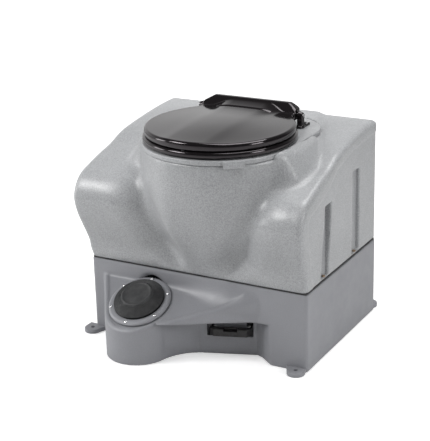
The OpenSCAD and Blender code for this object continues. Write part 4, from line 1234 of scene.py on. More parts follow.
    def build(self, shop: Workshop) -> list[bpy.types.Object]:
        """Makes the base's skin and its four ears.

        Args:
            shop: makes the pieces.

        Returns:
            The skin and the ears.
        """
        points, faces = skin_of(self.field, (-290, -349, -6), (290, 206, 194), self.cell)
        skin = shop.piece("base_housing_skin", points, faces, Finish.BASE)
        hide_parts("base_housing")
        made = [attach(skin, Body.HOUSING.value)]
        for name, end in (("", 1), ("rear_", -1)):
            made.append(Ear(f"ear_{name}left", self, -283.0, -1, end).build(shop))
            made.append(Ear(f"ear_{name}right", self, 263.0, 1, end).build(shop))
        return made


@dataclass
class Ear:
    """One bolt-down ear: a rounded tab with a hole, drawn at the front and mirrored for the rear."""

    name: str
    base: BaseHousing
    x: float
    side: int
    end: int
    out: float = 14.0
    r: float = 21.0
    height: float = 10.0
    bore: float = 5.0
    cell: float = 1.5

    def places(self) -> tuple[float, float]:
        """The tab's middle and its root, along Y at the front."""
        return self.base.front - self.out, self.base.front + self.base.corner

    def field(self, x: Array, y: Array, z: Array) -> Array:
        """The tab: a disc joined to a quadrilateral that widens to its root, with soft edges, less the bore.

        Args:
            x, y, z: where to measure.

        Returns:
            The distance, below zero in the solid.
        """
        y0, root = self.places()
        inward, outward = (12, 0) if self.side < 0 else (-4, 16)
        left, right = self.x - self.r, self.x + self.r
        plan = [(left, y0), (right, y0), (right + inward, root), (left - outward, root)]
        away = np.hypot(x - self.x, y * self.end - y0)
        flat = np.minimum(away - self.r, polygon_distance(x, y * self.end, plan))
        f = round_max(round_max(flat, z - self.height, 2), -z, 1)
        return round_max(f, self.bore - away, 1)

    def build(self, shop: Workshop) -> bpy.types.Object:
        """Makes the ear's skin from its field.

        Args:
            shop: makes the piece.

        Returns:
            The ear.
        """
        y0, root = self.places()
        ends = self.end * (y0 - 25), self.end * (root + 4)
        low, high = (self.x - 42, min(ends), -2), (self.x + 38, max(ends), 12.5)
        points, faces = skin_of(self.field, low, high, self.cell)
        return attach(shop.piece(self.name, points, faces, Finish.BASE), Body.HOUSING.value)


# ---------------------------------------------------------------- seat, lid and hinge


@dataclass
class HingeLine:
    """The hinge rod's line and the bowl's axis, and the lugs that carry the seat and the lid on the rod."""

    x: float = 25.0
    axis_y: float = -106.0
    y: float = 46.0
    z: float = 525.0
    lug_round: float = 2.0
    lug_half: float = 6.0
    lug_face: float = 5.0
    lug_draw: float = 0.93

    def lug(
        self, shop: Workshop, name: str, at: float, section: Sequence[Sequence[float]], body: Body
    ) -> bpy.types.Object:
        """Makes one lug: a side outline with soft corners, carried across, with a small step at each face.

        Args:
            shop: makes the piece.
            name: the piece's name.
            at: where the lug is along the rod.
            section: its side outline about the rod, counter-clockwise from the right.
            body: the body that it rides on.

        Returns:
            The lug.
        """
        outline = rounded(section, [self.lug_round] * len(section), 4)
        middle = outline.mean(0)
        x = np.array([-self.lug_half, -self.lug_face, self.lug_face, self.lug_half])
        draw = np.array([self.lug_draw, 1.0, 1.0, self.lug_draw])
        sy = middle[0] + (outline[None, :, 0] - middle[0]) * draw[:, None]
        sz = middle[1] + (outline[None, :, 1] - middle[1]) * draw[:, None]
        points = np.stack([self.x + at + x[:, None] + 0 * sy, self.y + sy, self.z + sz], -1)
        faces = bar_faces(len(x), len(outline))
        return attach(shop.piece(name, points.reshape(-1, 3), faces, Finish.SEAT_BLACK), body.value)

    def lug_pair(
        self, shop: Workshop, name: str, apart: float, section: Sequence[Sequence[float]], body: Body
    ) -> None:
        """Makes a left and a right lug, each so far from the middle."""
        self.lug(shop, f"{name}_left", -apart, section, body)
        self.lug(shop, f"{name}_right", apart, section, body)


@dataclass
class SeatRing:
    """The seat: a rounded ring with a straight cut behind, and two lugs. A rounding has a radius and a z."""

    hinge: HingeLine
    r: float = 177.0
    corner: float = 14.0
    chord: float = 33.0
    inner: float = 108.0
    inner_low: tuple[float, float] = (4.0, 499.0)
    inner_top: tuple[float, float, float] = (10.0, 8.0, 503.5)
    top: float = 511.5
    crown: float = 0.5
    outer_top: tuple[float, float] = (6.0, 505.7)
    outer_low: tuple[float, float] = (3.0, 502.0)
    lugs_apart: float = 82.0
    lug_section: tuple[tuple[float, float], ...] = (
        (-40, -25.5), (-6, -25.5), (7.5, -6), (8, 3), (3, 8), (-5, 7), (-18, -6), (-40, -14)
    )
    around: int = 256

    def reach(self, angle: Array) -> Array:
        """Distance from the axis to a circle that a straight line cuts off behind, with soft corners."""
        y = self.hinge.axis_y
        return halved(
            lambda t: round_max(t - self.r, y + t * np.sin(angle) - self.chord, self.corner) < 0, angle, 300.0
        )

    def build(self, shop: Workshop) -> None:
        """Makes the ring, whose outer side follows the cut circle, and its lugs.

        Args:
            shop: makes the pieces. The rings go up inside, over the top and down the outer side, by arcs.
        """
        angle = circle(self.around)
        edge = self.reach(angle)
        coarse, fine = np.radians([0, 30, 60, 90]), np.radians([0, 20, 40, 60, 80, 90])
        r, z = self.inner_low
        rings = [(self.inner + r * (1 - np.sin(a)), z + r * (1 - np.cos(a))) for a in coarse]
        wide, high, z = self.inner_top
        rings += [(self.inner + wide * (1 - np.cos(a)), z + high * np.sin(a)) for a in fine]
        start, (r, z) = self.inner + wide, self.outer_top
        for s in (0.25, 0.5, 0.75):
            rings.append((start + s * (edge - r - start), self.top + self.crown * np.sin(np.pi * s)))
        rings += [(edge - r + r * np.sin(a), z + r * np.cos(a)) for a in fine]
        r, z = self.outer_low
        rings += [(edge - r + r * np.cos(a), z - r * np.sin(a)) for a in coarse]
        points = ring_points(self.hinge.x, self.hinge.axis_y, angle, rings)
        faces = grid_faces(len(rings), self.around, True, True)
        seat = shop.piece("seat_ring_skin", points, faces, Finish.SEAT_BLACK, 60)
        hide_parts("seat_ring")
        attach(seat, Body.SEAT.value)
        self.hinge.lug_pair(shop, "seat_lug", self.lugs_apart, self.lug_section, Body.SEAT)


@dataclass
class Lid:
    """The lid, which sweeps up into a ridge behind the hinge, and its two lugs.

    Heights that start with ridge are above the rod, and places along Y are from the rod.
    """

    hinge: HingeLine
    r: float = 173.0
    crown_z: float = 530.0
    crown: float = 7.0
    crown_r: float = 166.0
    crown_power: float = 1.2
    sweep: float = 16.5
    sweep_from: float = 116.0
    sweep_long: float = 120.0
    sweep_power: float = 2.2
    sweep_flat: float = 40.0
    sweep_fall: float = 0.0045
    sweep_fill: float = 4.0
    ridge_half: float = 122.0
    ridge_from: float = 30.0
    ridge_to: float = 17.0
    ridge_face: tuple[float, float, float] = (24.5, 0.95, 4.0)
    ridge_z: float = 26.0
    ridge_ends: tuple[float, float, float] = (26.5, 0.57, 98.0)
    ridge_round: float = 1.5
    plan_fill: float = 8.0
    plan_round: float = 6.0
    slot_half: float = 72.0
    slot_x: float = 1.0
    slot_y: float = 37.0
    slot_wide: float = 4.0
    slot_depth: float = 2.2
    slot_fade: tuple[float, float] = (3.0, 1.6)
    foot_z: float = 514.0
    foot_rise: float = 20.0
    rim_round: float = 7.0
    rim_less: float = 4.0
    behind: tuple[float, float] = (24.0, 12.0)
    rim_lip: tuple[tuple[float, float], ...] = ((0.0, 2.0), (1.4, 0.2), (3.2, 0.0), (4.2, 1.0))
    wall: float = 4.4
    wall_less: float = 0.9
    under_low: float = 516.0
    centre: float = 0.0001
    lugs_apart: float = 116.0
    lug_section: tuple[tuple[float, float], ...] = (
        (-15, -10.5), (-6, -10.5), (6, -6), (8, 0), (13, 8), (13, 10.5), (-8, 10.5), (-15, 4)
    )
    around: int = 512

    def top(self, x: Array, y: Array) -> Array:
        """Height of the lid's upper surface.

        Args:
            x, y: where to measure.

        Returns:
            The highest of three with soft joints, less a narrow slot: a crown that falls with the distance
            from the axis, a back that sweeps up as a power of the way to the hinge and falls away to the
            sides with the square of the way, and a ridge with a sloping front and falling ends.
        """
        dx, back = np.abs(x - self.hinge.x), y - self.hinge.y
        away = np.clip(np.hypot(dx, y - self.hinge.axis_y) / self.crown_r, 0, 1)
        crown = self.crown_z + self.crown * np.cos(np.pi / 2 * away) ** self.crown_power
        way = np.clip((back + self.sweep_from) / self.sweep_long, 0, 1)
        sweep = crown + self.sweep * way**self.sweep_power
        sweep = sweep - self.sweep_fall * np.maximum(dx - self.sweep_flat, 0) ** 2
        z, soft = self.hinge.z, self.ridge_round
        (face, slope, at), (end, fall, start) = self.ridge_face, self.ridge_ends
        ridge = soft_min(z + face + slope * (back - at), z + self.ridge_z + 0 * back, soft)
        ridge = soft_min(ridge, z + end - fall * np.maximum(dx - start, 0), soft)
        end_fade, side_fade = self.slot_fade
        slot = ease((self.slot_half - np.abs(x - self.hinge.x - self.slot_x)) / end_fade)
        slot = slot * ease((self.slot_wide - np.abs(back + self.slot_y)) / side_fade)
        return soft_max(soft_max(crown, sweep, self.sweep_fill), ridge, soft) - self.slot_depth * slot

    def outline(self, angle: Array) -> Array:
        """Reach of the lid in each direction: its circle, and the ridge's bar behind it with soft corners.

        Args:
            angle: the directions.

        Returns:
            The distances from the axis.
        """

        def inside(t: Array) -> Array:
            """Tells if a distance from the axis is still on the lid: on circle or bar, and not cut off."""
            back = self.hinge.axis_y + t * np.sin(angle) - self.hinge.y
            bar = np.maximum(np.abs(t * np.cos(angle)) - self.ridge_half, -self.ridge_from - back)
            plan = round_min(t - self.r, bar, self.plan_fill)
            return round_max(plan, back - self.ridge_to, self.plan_round) < 0

        return halved(inside, angle, 300.0)

    def build(self, shop: Workshop) -> None:
        """Makes the lid and its lugs: a swept top, a rounded rim with a lip, and a hollow underside.

        The rings go out over the top, down the rim, whose foot is higher behind the hinge, and back
        underneath, where the surface follows the top at the wall's thickness.

        Args:
            shop: makes the pieces.
        """
        angle, (x, y) = circle(self.around), (self.hinge.x, self.hinge.axis_y)
        edge = self.outline(angle)
        start, over = self.behind
        behind = ease((y + edge * np.sin(angle) - start) / over)
        soft = self.rim_round - self.rim_less * behind
        foot = self.foot_z + self.foot_rise * behind
        rings: list[tuple[Array, Array]] = []
        for share in np.concatenate([[self.centre], np.linspace(0.06, 0.54, 9), np.linspace(0.56, 1, 42)]):
            r = (edge - soft) * share
            rings.append((r, self.top(x + r * np.cos(angle), y + r * np.sin(angle))))
        brow = rings[-1][1]
        for a in np.radians([18, 36, 54, 72, 90]):
            rings.append((edge - soft + soft * np.sin(a), brow - soft * (1 - np.cos(a))))
        rings += [(edge - inward, foot + above) for inward, above in self.rim_lip]
        for share in (1, 0.97, 0.93, 0.88, 0.8, 0.7, 0.6, 0.5, 0.4, 0.25, 0.12, self.centre):
            r = (edge - soft - 2) * share
            top = self.top(x + r * np.cos(angle), y + r * np.sin(angle))
            rings.append((r, np.maximum(top - self.wall + self.wall_less * (1 - share), self.under_low)))
        faces = [face[::-1] for face in bar_faces(len(rings), self.around)]
        lid = shop.piece("lid_skin", ring_points(x, y, angle, rings), faces, Finish.SEAT_BLACK, 60)
        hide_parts("seat_lid")
        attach(lid, Body.LID.value)
        self.hinge.lug_pair(shop, "lid_lug", self.lugs_apart, self.lug_section, Body.LID)


@dataclass
class HingePosts:
    """The two posts that hold the hinge rod: each a foot and a column with a round head, about the rod."""

    hinge: HingeLine
    apart: float = 131.0
    half: float = 7.0
    head: float = 8.2
    head_slope: float = 0.3
    head_round: float = 3.4
    low: float = 30.0
    low_round: float = 0.5
    foot_ends: tuple[float, float] = (-12.0, 38.0)
    foot_corner: float = 5.0
    foot_top: float = 25.0
    foot_round: float = 1.6
    foot_fill: float = 4.0
    rod_bore: float = 4.1
    bolt_bore: float = 3.1
    bolt_y: float = 26.0
    cell: float = 0.85

    def field(self, x: Array, y: Array, z: Array) -> Array:
        """A column with a round head that is wider towards the lid, softly joined to its foot, with bores.

        Args:
            x, y, z: where to measure, from the middle of the rod in the post.

        Returns:
            The distance, below zero in the solid.
        """
        away = np.where(z > 0, np.hypot(y, z), np.abs(y))
        head = away - (self.head - self.head_slope * x)
        column = round_max(head, np.abs(x) - self.half, self.head_round)
        column = round_max(column, -self.low - z, self.low_round)
        front, rear = self.foot_ends
        foot = box_distance(x, y, (-self.half, front), (self.half, rear), self.foot_corner)
        foot = round_max(foot, z + self.foot_top, self.foot_round)
        post = round_min(column, np.maximum(foot, -self.low - z), self.foot_fill)
        bores = np.maximum(self.rod_bore - np.hypot(y, z), self.bolt_bore - np.hypot(x, y - self.bolt_y))
        return np.maximum(post, bores)

    def build(self, shop: Workshop) -> list[bpy.types.Object]:
        """Makes both posts, the right one as drawn and the left one mirrored.

        Args:
            shop: makes the pieces.

        Returns:
            The posts.
        """
        points, faces = skin_of(self.field, (-8.6, -14, -32), (8.6, 40, 16), self.cell)
        made = []
        for name, side in (("left", -1), ("right", 1)):
            middle = np.array([self.hinge.x + side * self.apart, self.hinge.y, self.hinge.z])
            place = points * np.array([side, 1, 1]) + middle
            made.append(shop.piece(f"hinge_post_{name}", place, faces[:, ::side], Finish.SEAT_BLACK, 50))
            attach(made[-1], Body.HOUSING.value)
        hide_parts("hinge_posts")
        return made


@dataclass
class LipClip:
    """The small clip that hangs over the bowl's lip at the front. Its section has radii and heights."""

    x: float = 25.0
    y: float = -106.0
    turn: float = -52.5
    half: float = 24.0
    middle: tuple[float, float] = (184.2, 486.0)
    section: tuple[tuple[float, float], ...] = (
        (180.3, 485), (180.3, 494), (182.8, 494), (186.5, 481), (186.5, 478), (183.2, 478), (183.2, 483)
    )
    rounds: tuple[float, ...] = (0.3, 0.8, 1.2, 1.2, 1.2, 0.8, 0.3)
    stations: tuple[float, ...] = (-1.0, -0.97, -0.93, 0.93, 0.97, 1.0)
    draws: tuple[float, ...] = (0.8, 0.94, 1.0, 1.0, 0.94, 0.8)

    def build(self, shop: Workshop) -> bpy.types.Object:
        """Makes the clip: its section carried along its width, and drawn in at the ends.

        Args:
            shop: makes the piece.

        Returns:
            The clip.
        """
        section = rounded(self.section, self.rounds, 4)
        w, draw = np.array(self.stations) * self.half, np.array(self.draws)
        r = self.middle[0] + (section[None, :, 0] - self.middle[0]) * draw[:, None]
        z = self.middle[1] + (section[None, :, 1] - self.middle[1]) * (0.5 + 0.5 * draw[:, None])
        points = np.stack([r, w[:, None] + 0 * r, z], -1).reshape(-1, 3)
        faces = bar_faces(len(w), len(section))
        clip = shop.piece("lip_clip_skin", turned(points, self.x, self.y, self.turn), faces, Finish.SHELL)
        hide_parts("lip_clip")
        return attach(clip, Body.HOUSING.value)


# ---------------------------------------------------------------- the foot pump


@dataclass
class FootPump:
    """The foot pump on its tilted deck: rubber dome with fine rings, clamping ring and screws.

    Each profile is a list of radius and height in the pump's frame.
    """

    axis: PumpAxis
    around: int = 160
    skirt: tuple[float, float, float, float] = (59.9, 38.0, 12.6, 27.0)
    skirt_swell: float = 1.6
    ripples: int = 11
    ripple: float = 0.5
    ripple_out: float = 0.55
    ripple_up: float = 0.83
    ripple_fade: float = 0.06
    foot: tuple[tuple[float, float], ...] = (
        (55.2, 5.4), (55.2, 10.4), (56.0, 11.2), (59.4, 11.2), (60.2, 11.5), (60.2, 12.2)
    )
    rim: tuple[tuple[float, float], ...] = (
        (37.2, 28.2), (36.4, 29.2), (35.2, 29.8), (33.8, 30.0), (32.6, 29.6), (31.4, 29.0)
    )
    button: tuple[tuple[float, float], ...] = ((28, 28.7), (22, 28.4), (14, 28.2), (7, 28.1), (0.3, 28.1))
    inside: tuple[tuple[float, float], ...] = (
        (0.3, 24.6), (20, 24.8), (34, 24.6), (36, 23.0), (45, 17.0), (51.5, 12.4), (52.4, 11), (52.4, 2.6)
    )
    flange: tuple[tuple[float, float], ...] = ((65.5, 2.6), (66, 3.0), (66, 4.6), (65.5, 5.2))
    fold: tuple[float, float] = (5.5, 26.0)
    stem_profile: tuple[tuple[float, float], ...] = ((0.3, -8), (9, -8), (9, 24), (0.3, 24))
    stem_rounds: tuple[float, ...] = (0, 1.5, 0, 0)
    ring_profile: tuple[tuple[float, float], ...] = (
        (66.3, 2.5), (75, 2.5), (75, 2.9), (70.5, 5.7), (60.6, 6.5), (60.6, 5.4), (66.3, 5.4)
    )
    ring_rounds: tuple[float, ...] = (0.3, 0.1, 0.8, 3.0, 0.5, 0.3, 0.3)
    screw_count: int = 6
    screw_at: float = 68.5
    screw_first: float = 30.0
    screw_z: float = 5.8
    head_r: float = 3.6
    head_ball: tuple[float, float] = (7.6, 5.2)
    head_round: float = 0.5
    slot_half: tuple[float, float] = (0.45, 2.1)
    slot_floor: float = 1.2
    head_cell: float = 0.36
    shank_r: float = 2.0
    shank_ends: tuple[float, float] = (-9.0, 6.2)
    shank_sides: int = 20

    def place(self, z: float) -> tuple[float, float, float]:
        """A point of the pump's axis in metres in the part's frame."""
        return tuple(self.axis.world(np.array([[0, 0, z]]))[0] * METRES)

    def spun(self, profile: Array) -> tuple[Array, Array]:
        """Carries a closed profile of radius and height round the pump's axis.

        Args:
            profile: its points, counter-clockwise from the side of the axis.

        Returns:
            The points in the part's frame, and the faces.
        """
        a = circle(self.around)
        r, z = profile[:, 0][:, None], profile[:, 1][:, None]
        points = np.stack([r * np.cos(a), r * np.sin(a), z + 0 * a], -1).reshape(-1, 3)
        return self.axis.world(points), grid_faces(len(profile), self.around, True, True)[:, ::-1]

    def dome(self, shop: Workshop) -> bpy.types.Object:
        """Makes the rubber dome: an undercut foot, a skirt with fine rings, and a button with a raised rim.

        Args:
            shop: makes the piece.

        Returns:
            The dome. Its skirt is a slope with half a sine of swell and a fading sine of fine rings.
        """
        t = np.linspace(0, 1, 97)
        r0, r1, z0, z1 = self.skirt
        wave = self.ripple * np.sin(2 * np.pi * self.ripples * t)
        wave = wave * ease(t / self.ripple_fade) * ease((1 - t) / self.ripple_fade)
        skirt_r = r0 - (r0 - r1) * t
        skirt_z = z0 + (z1 - z0) * t + self.skirt_swell * np.sin(np.pi * t)
        skirt = np.stack([skirt_r + self.ripple_out * wave, skirt_z + self.ripple_up * wave], 1)
        profile = np.concatenate([self.foot, skirt, self.rim, self.button, self.inside, self.flange])
        points, faces = self.spun(profile)
        dome = shop.piece("pump_dome", points, faces, Finish.RUBBER, 60)
        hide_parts("pump_bellows", "pump_button")
        low, high = self.fold
        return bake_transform(dome, Body.HOUSING.value, Body.PUMP.value, self.place(low), self.place(high))

    def stem(self, shop: Workshop) -> bpy.types.Object:
        """Makes the stem under the button, which pushes the water out of the cup."""
        points, faces = self.spun(rounded(self.stem_profile, self.stem_rounds, 4))
        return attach(shop.piece("pump_stem", points, faces, Finish.RUBBER), Body.PUMP.value)

    def ring(self, shop: Workshop) -> bpy.types.Object:
        """Makes the clamping ring: a rounded profile spun about the axis.

        Args:
            shop: makes the piece.

        Returns:
            The ring.
        """
        points, faces = self.spun(rounded(self.ring_profile, self.ring_rounds))
        ring = shop.piece("pump_ring_skin", points, faces, Finish.BASE, 50)
        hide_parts("pump_ring")
        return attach(ring, Body.HOUSING.value)

    def head(self, x: Array, y: Array, z: Array) -> Array:
        """A screw's head: part of a ball on a disc, less two crossed slots.

        Args:
            x, y, z: where to measure, from the head's foot.

        Returns:
            The distance, below zero in the solid.
        """
        r, (ball, deep), (narrow, long) = np.hypot(x, y), self.head_ball, self.slot_half
        head = round_max(r - self.head_r, np.hypot(r, z + deep) - ball, self.head_round)
        one = np.maximum(np.abs(x) - narrow, np.abs(y) - long)
        other = np.maximum(np.abs(y) - narrow, np.abs(x) - long)
        cross = np.maximum(np.minimum(one, other), self.slot_floor - z)
        return np.maximum(np.maximum(head, -z), -cross)

    def screws(self, shop: Workshop) -> bpy.types.Object:
        """Makes the screws: each a domed head with a cross in it, on a plain shank.

        Args:
            shop: makes the piece.

        Returns:
            All screws as one piece.
        """
        points, faces = skin_of(self.head, (-4.4, -4.4, -0.6), (4.4, 4.4, 3.0), self.head_cell)
        turns = np.radians(self.screw_first + 360 / self.screw_count * np.arange(self.screw_count))
        spots = [(self.screw_at * np.cos(a), self.screw_at * np.sin(a)) for a in turns]
        parts = [points + np.array([x, y, self.screw_z]) for x, y in spots]
        every = np.concatenate([faces + k * len(points) for k in range(self.screw_count)]).tolist()
        t, first = circle(self.shank_sides), self.screw_count * len(points)
        for x, y in spots:
            px, py = x + self.shank_r * np.cos(t), y + self.shank_r * np.sin(t)
            parts += [np.stack([px, py, 0 * t + z], 1) for z in self.shank_ends]
            every += [[first + k for k in face] for face in bar_faces(2, self.shank_sides)]
            first += 2 * self.shank_sides
        points = self.axis.world(np.concatenate(parts))
        screws = shop.piece("pump_screw_set", points, every, Finish.BRIGHT_STEEL)
        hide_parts("pump_screws")
        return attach(screws, Body.HOUSING.value)

    def build(self, shop: Workshop) -> None:
        """Makes the dome, its stem, the ring and the screws."""
        for make in (self.dome, self.stem, self.ring, self.screws):
            make(shop)


# ---------------------------------------------------------------- pedal, cap, spring and hoses


@dataclass
class Pedal:
    """The pedal in its toe recess: a block with cut corners, a thumb notch, ribs and two arms."""

    mechanism: Mechanism
    low: float = 55.0
    high: float = 75.0
    plan: tuple[tuple[float, float], ...] = (
        (-49, -9), (-49, -14), (-39, -24), (39, -24), (49, -14), (49, -9)
    )
    block_round: float = 2.5
    notch_half: float = 16.0
    notch_y: float = -14.0
    notch_deep: float = 6.0
    notch_round: float = 1.5
    rib_every: float = 8.0
    rib_half: float = 1.2
    rib_y: float = -23.2
    rib_z: tuple[float, float] = (61.5, 4.0)
    rib_ends: float = 38.0
    arm_at: tuple[tuple[float, float], ...] = ((46.0, 40.0), (-46.0, 0.0))
    arm_half: float = 2.3
    arm_front: float = -12.0
    arm_high: float = 6.0
    arm_round: float = 0.6
    eye_r: float = 7.0
    pin_bore: float = 4.1
    link_bore: float = 2.5
    cell: float = 1.15

    def arm(self, x: Array, y: Array, z: Array, at: float, rear: float) -> Array:
        """One arm: a bar with an eye at the pivot and, where it reaches on to the rear, one there too.

        Args:
            x, y, z: where to measure.
            at: the arm's place along the pedal.
            rear: how far it reaches past the pivot.

        Returns:
            The distance, below zero in the solid.
        """
        py, pz = self.mechanism.pivot_y, self.mechanism.pivot_z
        bar = box_distance(y, z, (self.arm_front, pz - self.arm_high), (py + rear, pz + self.arm_high))
        pivot, link = np.hypot(y - py, z - pz), np.hypot(y - py - rear, z - pz)
        eyes = np.minimum(pivot - self.eye_r, link - self.eye_r)
        arm = round_max(np.minimum(bar, eyes), np.abs(x - at) - self.arm_half, self.arm_round)
        arm = np.maximum(arm, self.pin_bore - pivot)
        return np.maximum(arm, self.link_bore - link) if rear else arm

    def field(self, x: Array, y: Array, z: Array) -> Array:
        """The block, less a notch and shallow ribs, with its arms and their bores.

        Args:
            x, y, z: where to measure, in the pedal's frame.

        Returns:
            The distance, below zero in the solid.
        """
        plan = polygon_distance(x, y, self.plan)
        block = round_max(round_max(plan, z - self.high, self.block_round), self.low - z, self.block_round)
        notch = np.maximum(np.abs(x) - self.notch_half, y - self.notch_y)
        block = round_max(block, -np.maximum(notch, self.high - self.notch_deep - z), self.notch_round)
        across = np.abs(np.mod(x + self.rib_every / 2, self.rib_every) - self.rib_every / 2) - self.rib_half
        middle, reach = self.rib_z
        rib = np.maximum(across, np.maximum(y - self.rib_y, np.abs(z - middle) - reach))
        block = np.maximum(block, -np.maximum(rib, np.abs(x) - self.rib_ends))
        for at, rear in self.arm_at:
            block = np.minimum(block, self.arm(x, y, z, at, rear))
        return block

    def build(self, shop: Workshop) -> bpy.types.Object:
        """Makes the pedal's skin from its field and turns it into place.

        Args:
            shop: makes the piece.

        Returns:
            The pedal.
        """
        points, faces = skin_of(self.field, (-51.4, -26.4, 52.4), (51.4, 71, 77.6), self.cell)
        pedal = shop.piece("pedal_skin", self.mechanism.world(points), faces, Finish.BLACK_PLASTIC)
        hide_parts("foot_pedal")
        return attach(pedal, Body.PEDAL.value)


@dataclass
class FillCap:
    """The filler cap: a flat disc with a fluted edge, a ring groove, a grip across it and a plug below."""

    at: tuple[float, float] = CAP_AT
    r: float = 24.0
    low: float = 493.2
    high: float = 499.0
    edge_round: float = 1.4
    flutes: int = 28
    flute: float = 0.35
    groove: tuple[float, float, float] = (15.5, 500.0, 2.6)
    groove_round: float = 0.4
    grip: tuple[float, float, float, float] = (3.0, 21.0, 495.0, 501.0)
    grip_ends: float = 2.5
    grip_round: float = 1.2
    plug_r: float = 17.6
    plug_low: float = 479.3
    cell: float = 0.8

    def field(self, x: Array, y: Array, z: Array) -> Array:
        """Disc with shallow flutes and a groove, a rounded grip and a plug.

        Args:
            x, y, z: where to measure, from the cap's axis.

        Returns:
            The distance, below zero in the solid.
        """
        r, a = np.hypot(x, y), np.arctan2(y, x)
        edge = r - self.r + self.flute * (1 - np.cos(self.flutes * a))
        disc = np.maximum(round_max(edge, z - self.high, self.edge_round), self.low - z)
        groove_r, groove_z, deep = self.groove
        disc = round_max(disc, deep - np.hypot(r - groove_r, z - groove_z), self.groove_round)
        half, long, low, high = self.grip
        grip = round_max(np.abs(y) - half, np.abs(x) - long, self.grip_ends)
        grip = np.maximum(round_max(grip, z - high, self.grip_round), low - z)
        plug = np.maximum(round_max(r - self.plug_r, self.plug_low - z, 1), z - low)
        return np.minimum(np.minimum(disc, grip), plug)

    def build(self, shop: Workshop) -> bpy.types.Object:
        """Makes the cap's skin from its field.

        Args:
            shop: makes the piece.

        Returns:
            The cap.
        """
        points, faces = skin_of(self.field, (-26, -26, 477), (26, 26, 503), self.cell)
        points = points + np.array([*self.at, 0])
        cap = shop.piece("fill_cap_skin", points, faces, Finish.DARK_PLASTIC)
        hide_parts("fill_cap")
        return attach(cap, Body.CAP.value)


@dataclass
class Plumbing:
    """The hidden hoses and the pedal's coil spring, as smooth tubes along the part's own routes."""

    pump: PumpAxis
    mechanism: Mechanism
    bowl: DeckPlate
    spigot_x: float = 20.0
    spigot_z: tuple[float, float] = (-58.6, -72.0)
    bend: tuple[float, float, float] = (2.0, -210.0, 44.0)
    hose_r: float = 6.9
    hose_sides: int = 28
    suction: tuple[tuple[float, float, float], ...] = (
        (-141, -182, 46), (-143, -162, 72), (-143, -158, 110), (-143, -158, 150), (-143, -158, 200)
    )
    delivery: tuple[tuple[float, float, float], ...] = (
        (-89, -182, 46), (-87, -162, 72), (-87, -158, 110), (-87, -158, 150), (-87, -158, 199),
        (-87, -158, 213), (-95, -130, 256), (-115, -88, 320), (-135, -48, 372), (-144, -16, 412),
        (-139, -11, 433),
    )
    nozzle: tuple[float, float] = (150.0, 438.0)
    nozzle_r: tuple[float, float] = (182.0, 171.0)
    wire: float = 0.9
    coil_r: float = 5.5
    coil_x: float = -56.7
    coil_long: float = 7.0
    coil_turns: int = 3

    def start(self, side: int) -> list[Sequence[float]]:
        """A hose's first points: down from its spigot under the pump's cup, and the bend below.

        Args:
            side: -1 for the suction hose on the left, 1 for the delivery hose.

        Returns:
            The three points.
        """
        low = [self.pump.world(np.array([[side * self.spigot_x, 0, k]]))[0] for k in self.spigot_z]
        out, y, z = self.bend
        return [*low, (low[0][0] + side * out, y, z)]

    def build(self, shop: Workshop) -> None:
        """Makes both hoses and the spring.

        Args:
            shop: makes the pieces. The delivery hose ends radially at the bowl's rim.
        """
        a, z = np.radians(self.nozzle[0]), self.nozzle[1]
        ends = [(self.bowl.x + r * np.cos(a), self.bowl.y + r * np.sin(a), z) for r in self.nozzle_r]
        hoses = (
            ("suction_tube", "suction_hose", [*self.start(-1), *self.suction]),
            ("delivery_tube", "delivery_hose", [*self.start(1), *self.delivery, *ends]),
        )
        for name, node, route in hoses:
            points, faces = tube(smooth_path(route, 10), self.hose_r, self.hose_sides)
            piece = shop.piece(name, points, faces, Finish.HOSE, 60)
            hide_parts(node)
            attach(piece, Body.HOUSING.value)
        points, faces = self.coil(12)
        spring = shop.piece("pedal_coil", self.mechanism.world(points), faces, Finish.STEEL, 60)
        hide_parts("pedal_spring")
        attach(spring, Body.HOUSING.value)

    def coil(self, sides: int) -> tuple[Array, list[list[int]]]:
        """A wire along a helix about the pivot: each ring lies in the plane of the axis and the radius.

        Args:
            sides: points in each ring.

        Returns:
            The points in the mechanism's frame, and the faces.
        """
        t, a = np.linspace(0, self.coil_turns, 97), circle(sides)
        middle = np.array([self.mechanism.pivot_y, self.mechanism.pivot_z])
        out = np.stack([np.cos(2 * np.pi * t), np.sin(2 * np.pi * t)], 1)
        x = (self.coil_x + self.coil_long * t / self.coil_turns)[:, None] + self.wire * np.cos(a)[None, :]
        yz = (middle + self.coil_r * out)[:, None] + self.wire * np.sin(a)[None, :, None] * out[:, None, :]
        points = np.concatenate([x[..., None], yz], -1).reshape(-1, 3)
        return points, bar_faces(len(t), sides)


# ---------------------------------------------------------------- studio


@dataclass(frozen=True)
class Lamp:
    """One square soft lamp: its place, its side in metres and its power in watts."""

    name: str
    place: tuple[float, float, float]
    size: float
    power: float

    def light(self, aim: tuple[float, float, float]) -> None:
        """Adds the lamp to the scene.

        Args:
            aim: the point that it looks at.
        """
        data = bpy.data.lights.new(self.name, "AREA")
        data.shape = "SQUARE"
        data.size = self.size
        data.energy = self.power
        lamp = bpy.data.objects.new(self.name, data)
        lamp.location = self.place
        lamp.rotation_euler = (Vector(aim) - Vector(self.place)).to_track_quat("-Z", "Y").to_euler()
        bpy.context.scene.collection.objects.link(lamp)


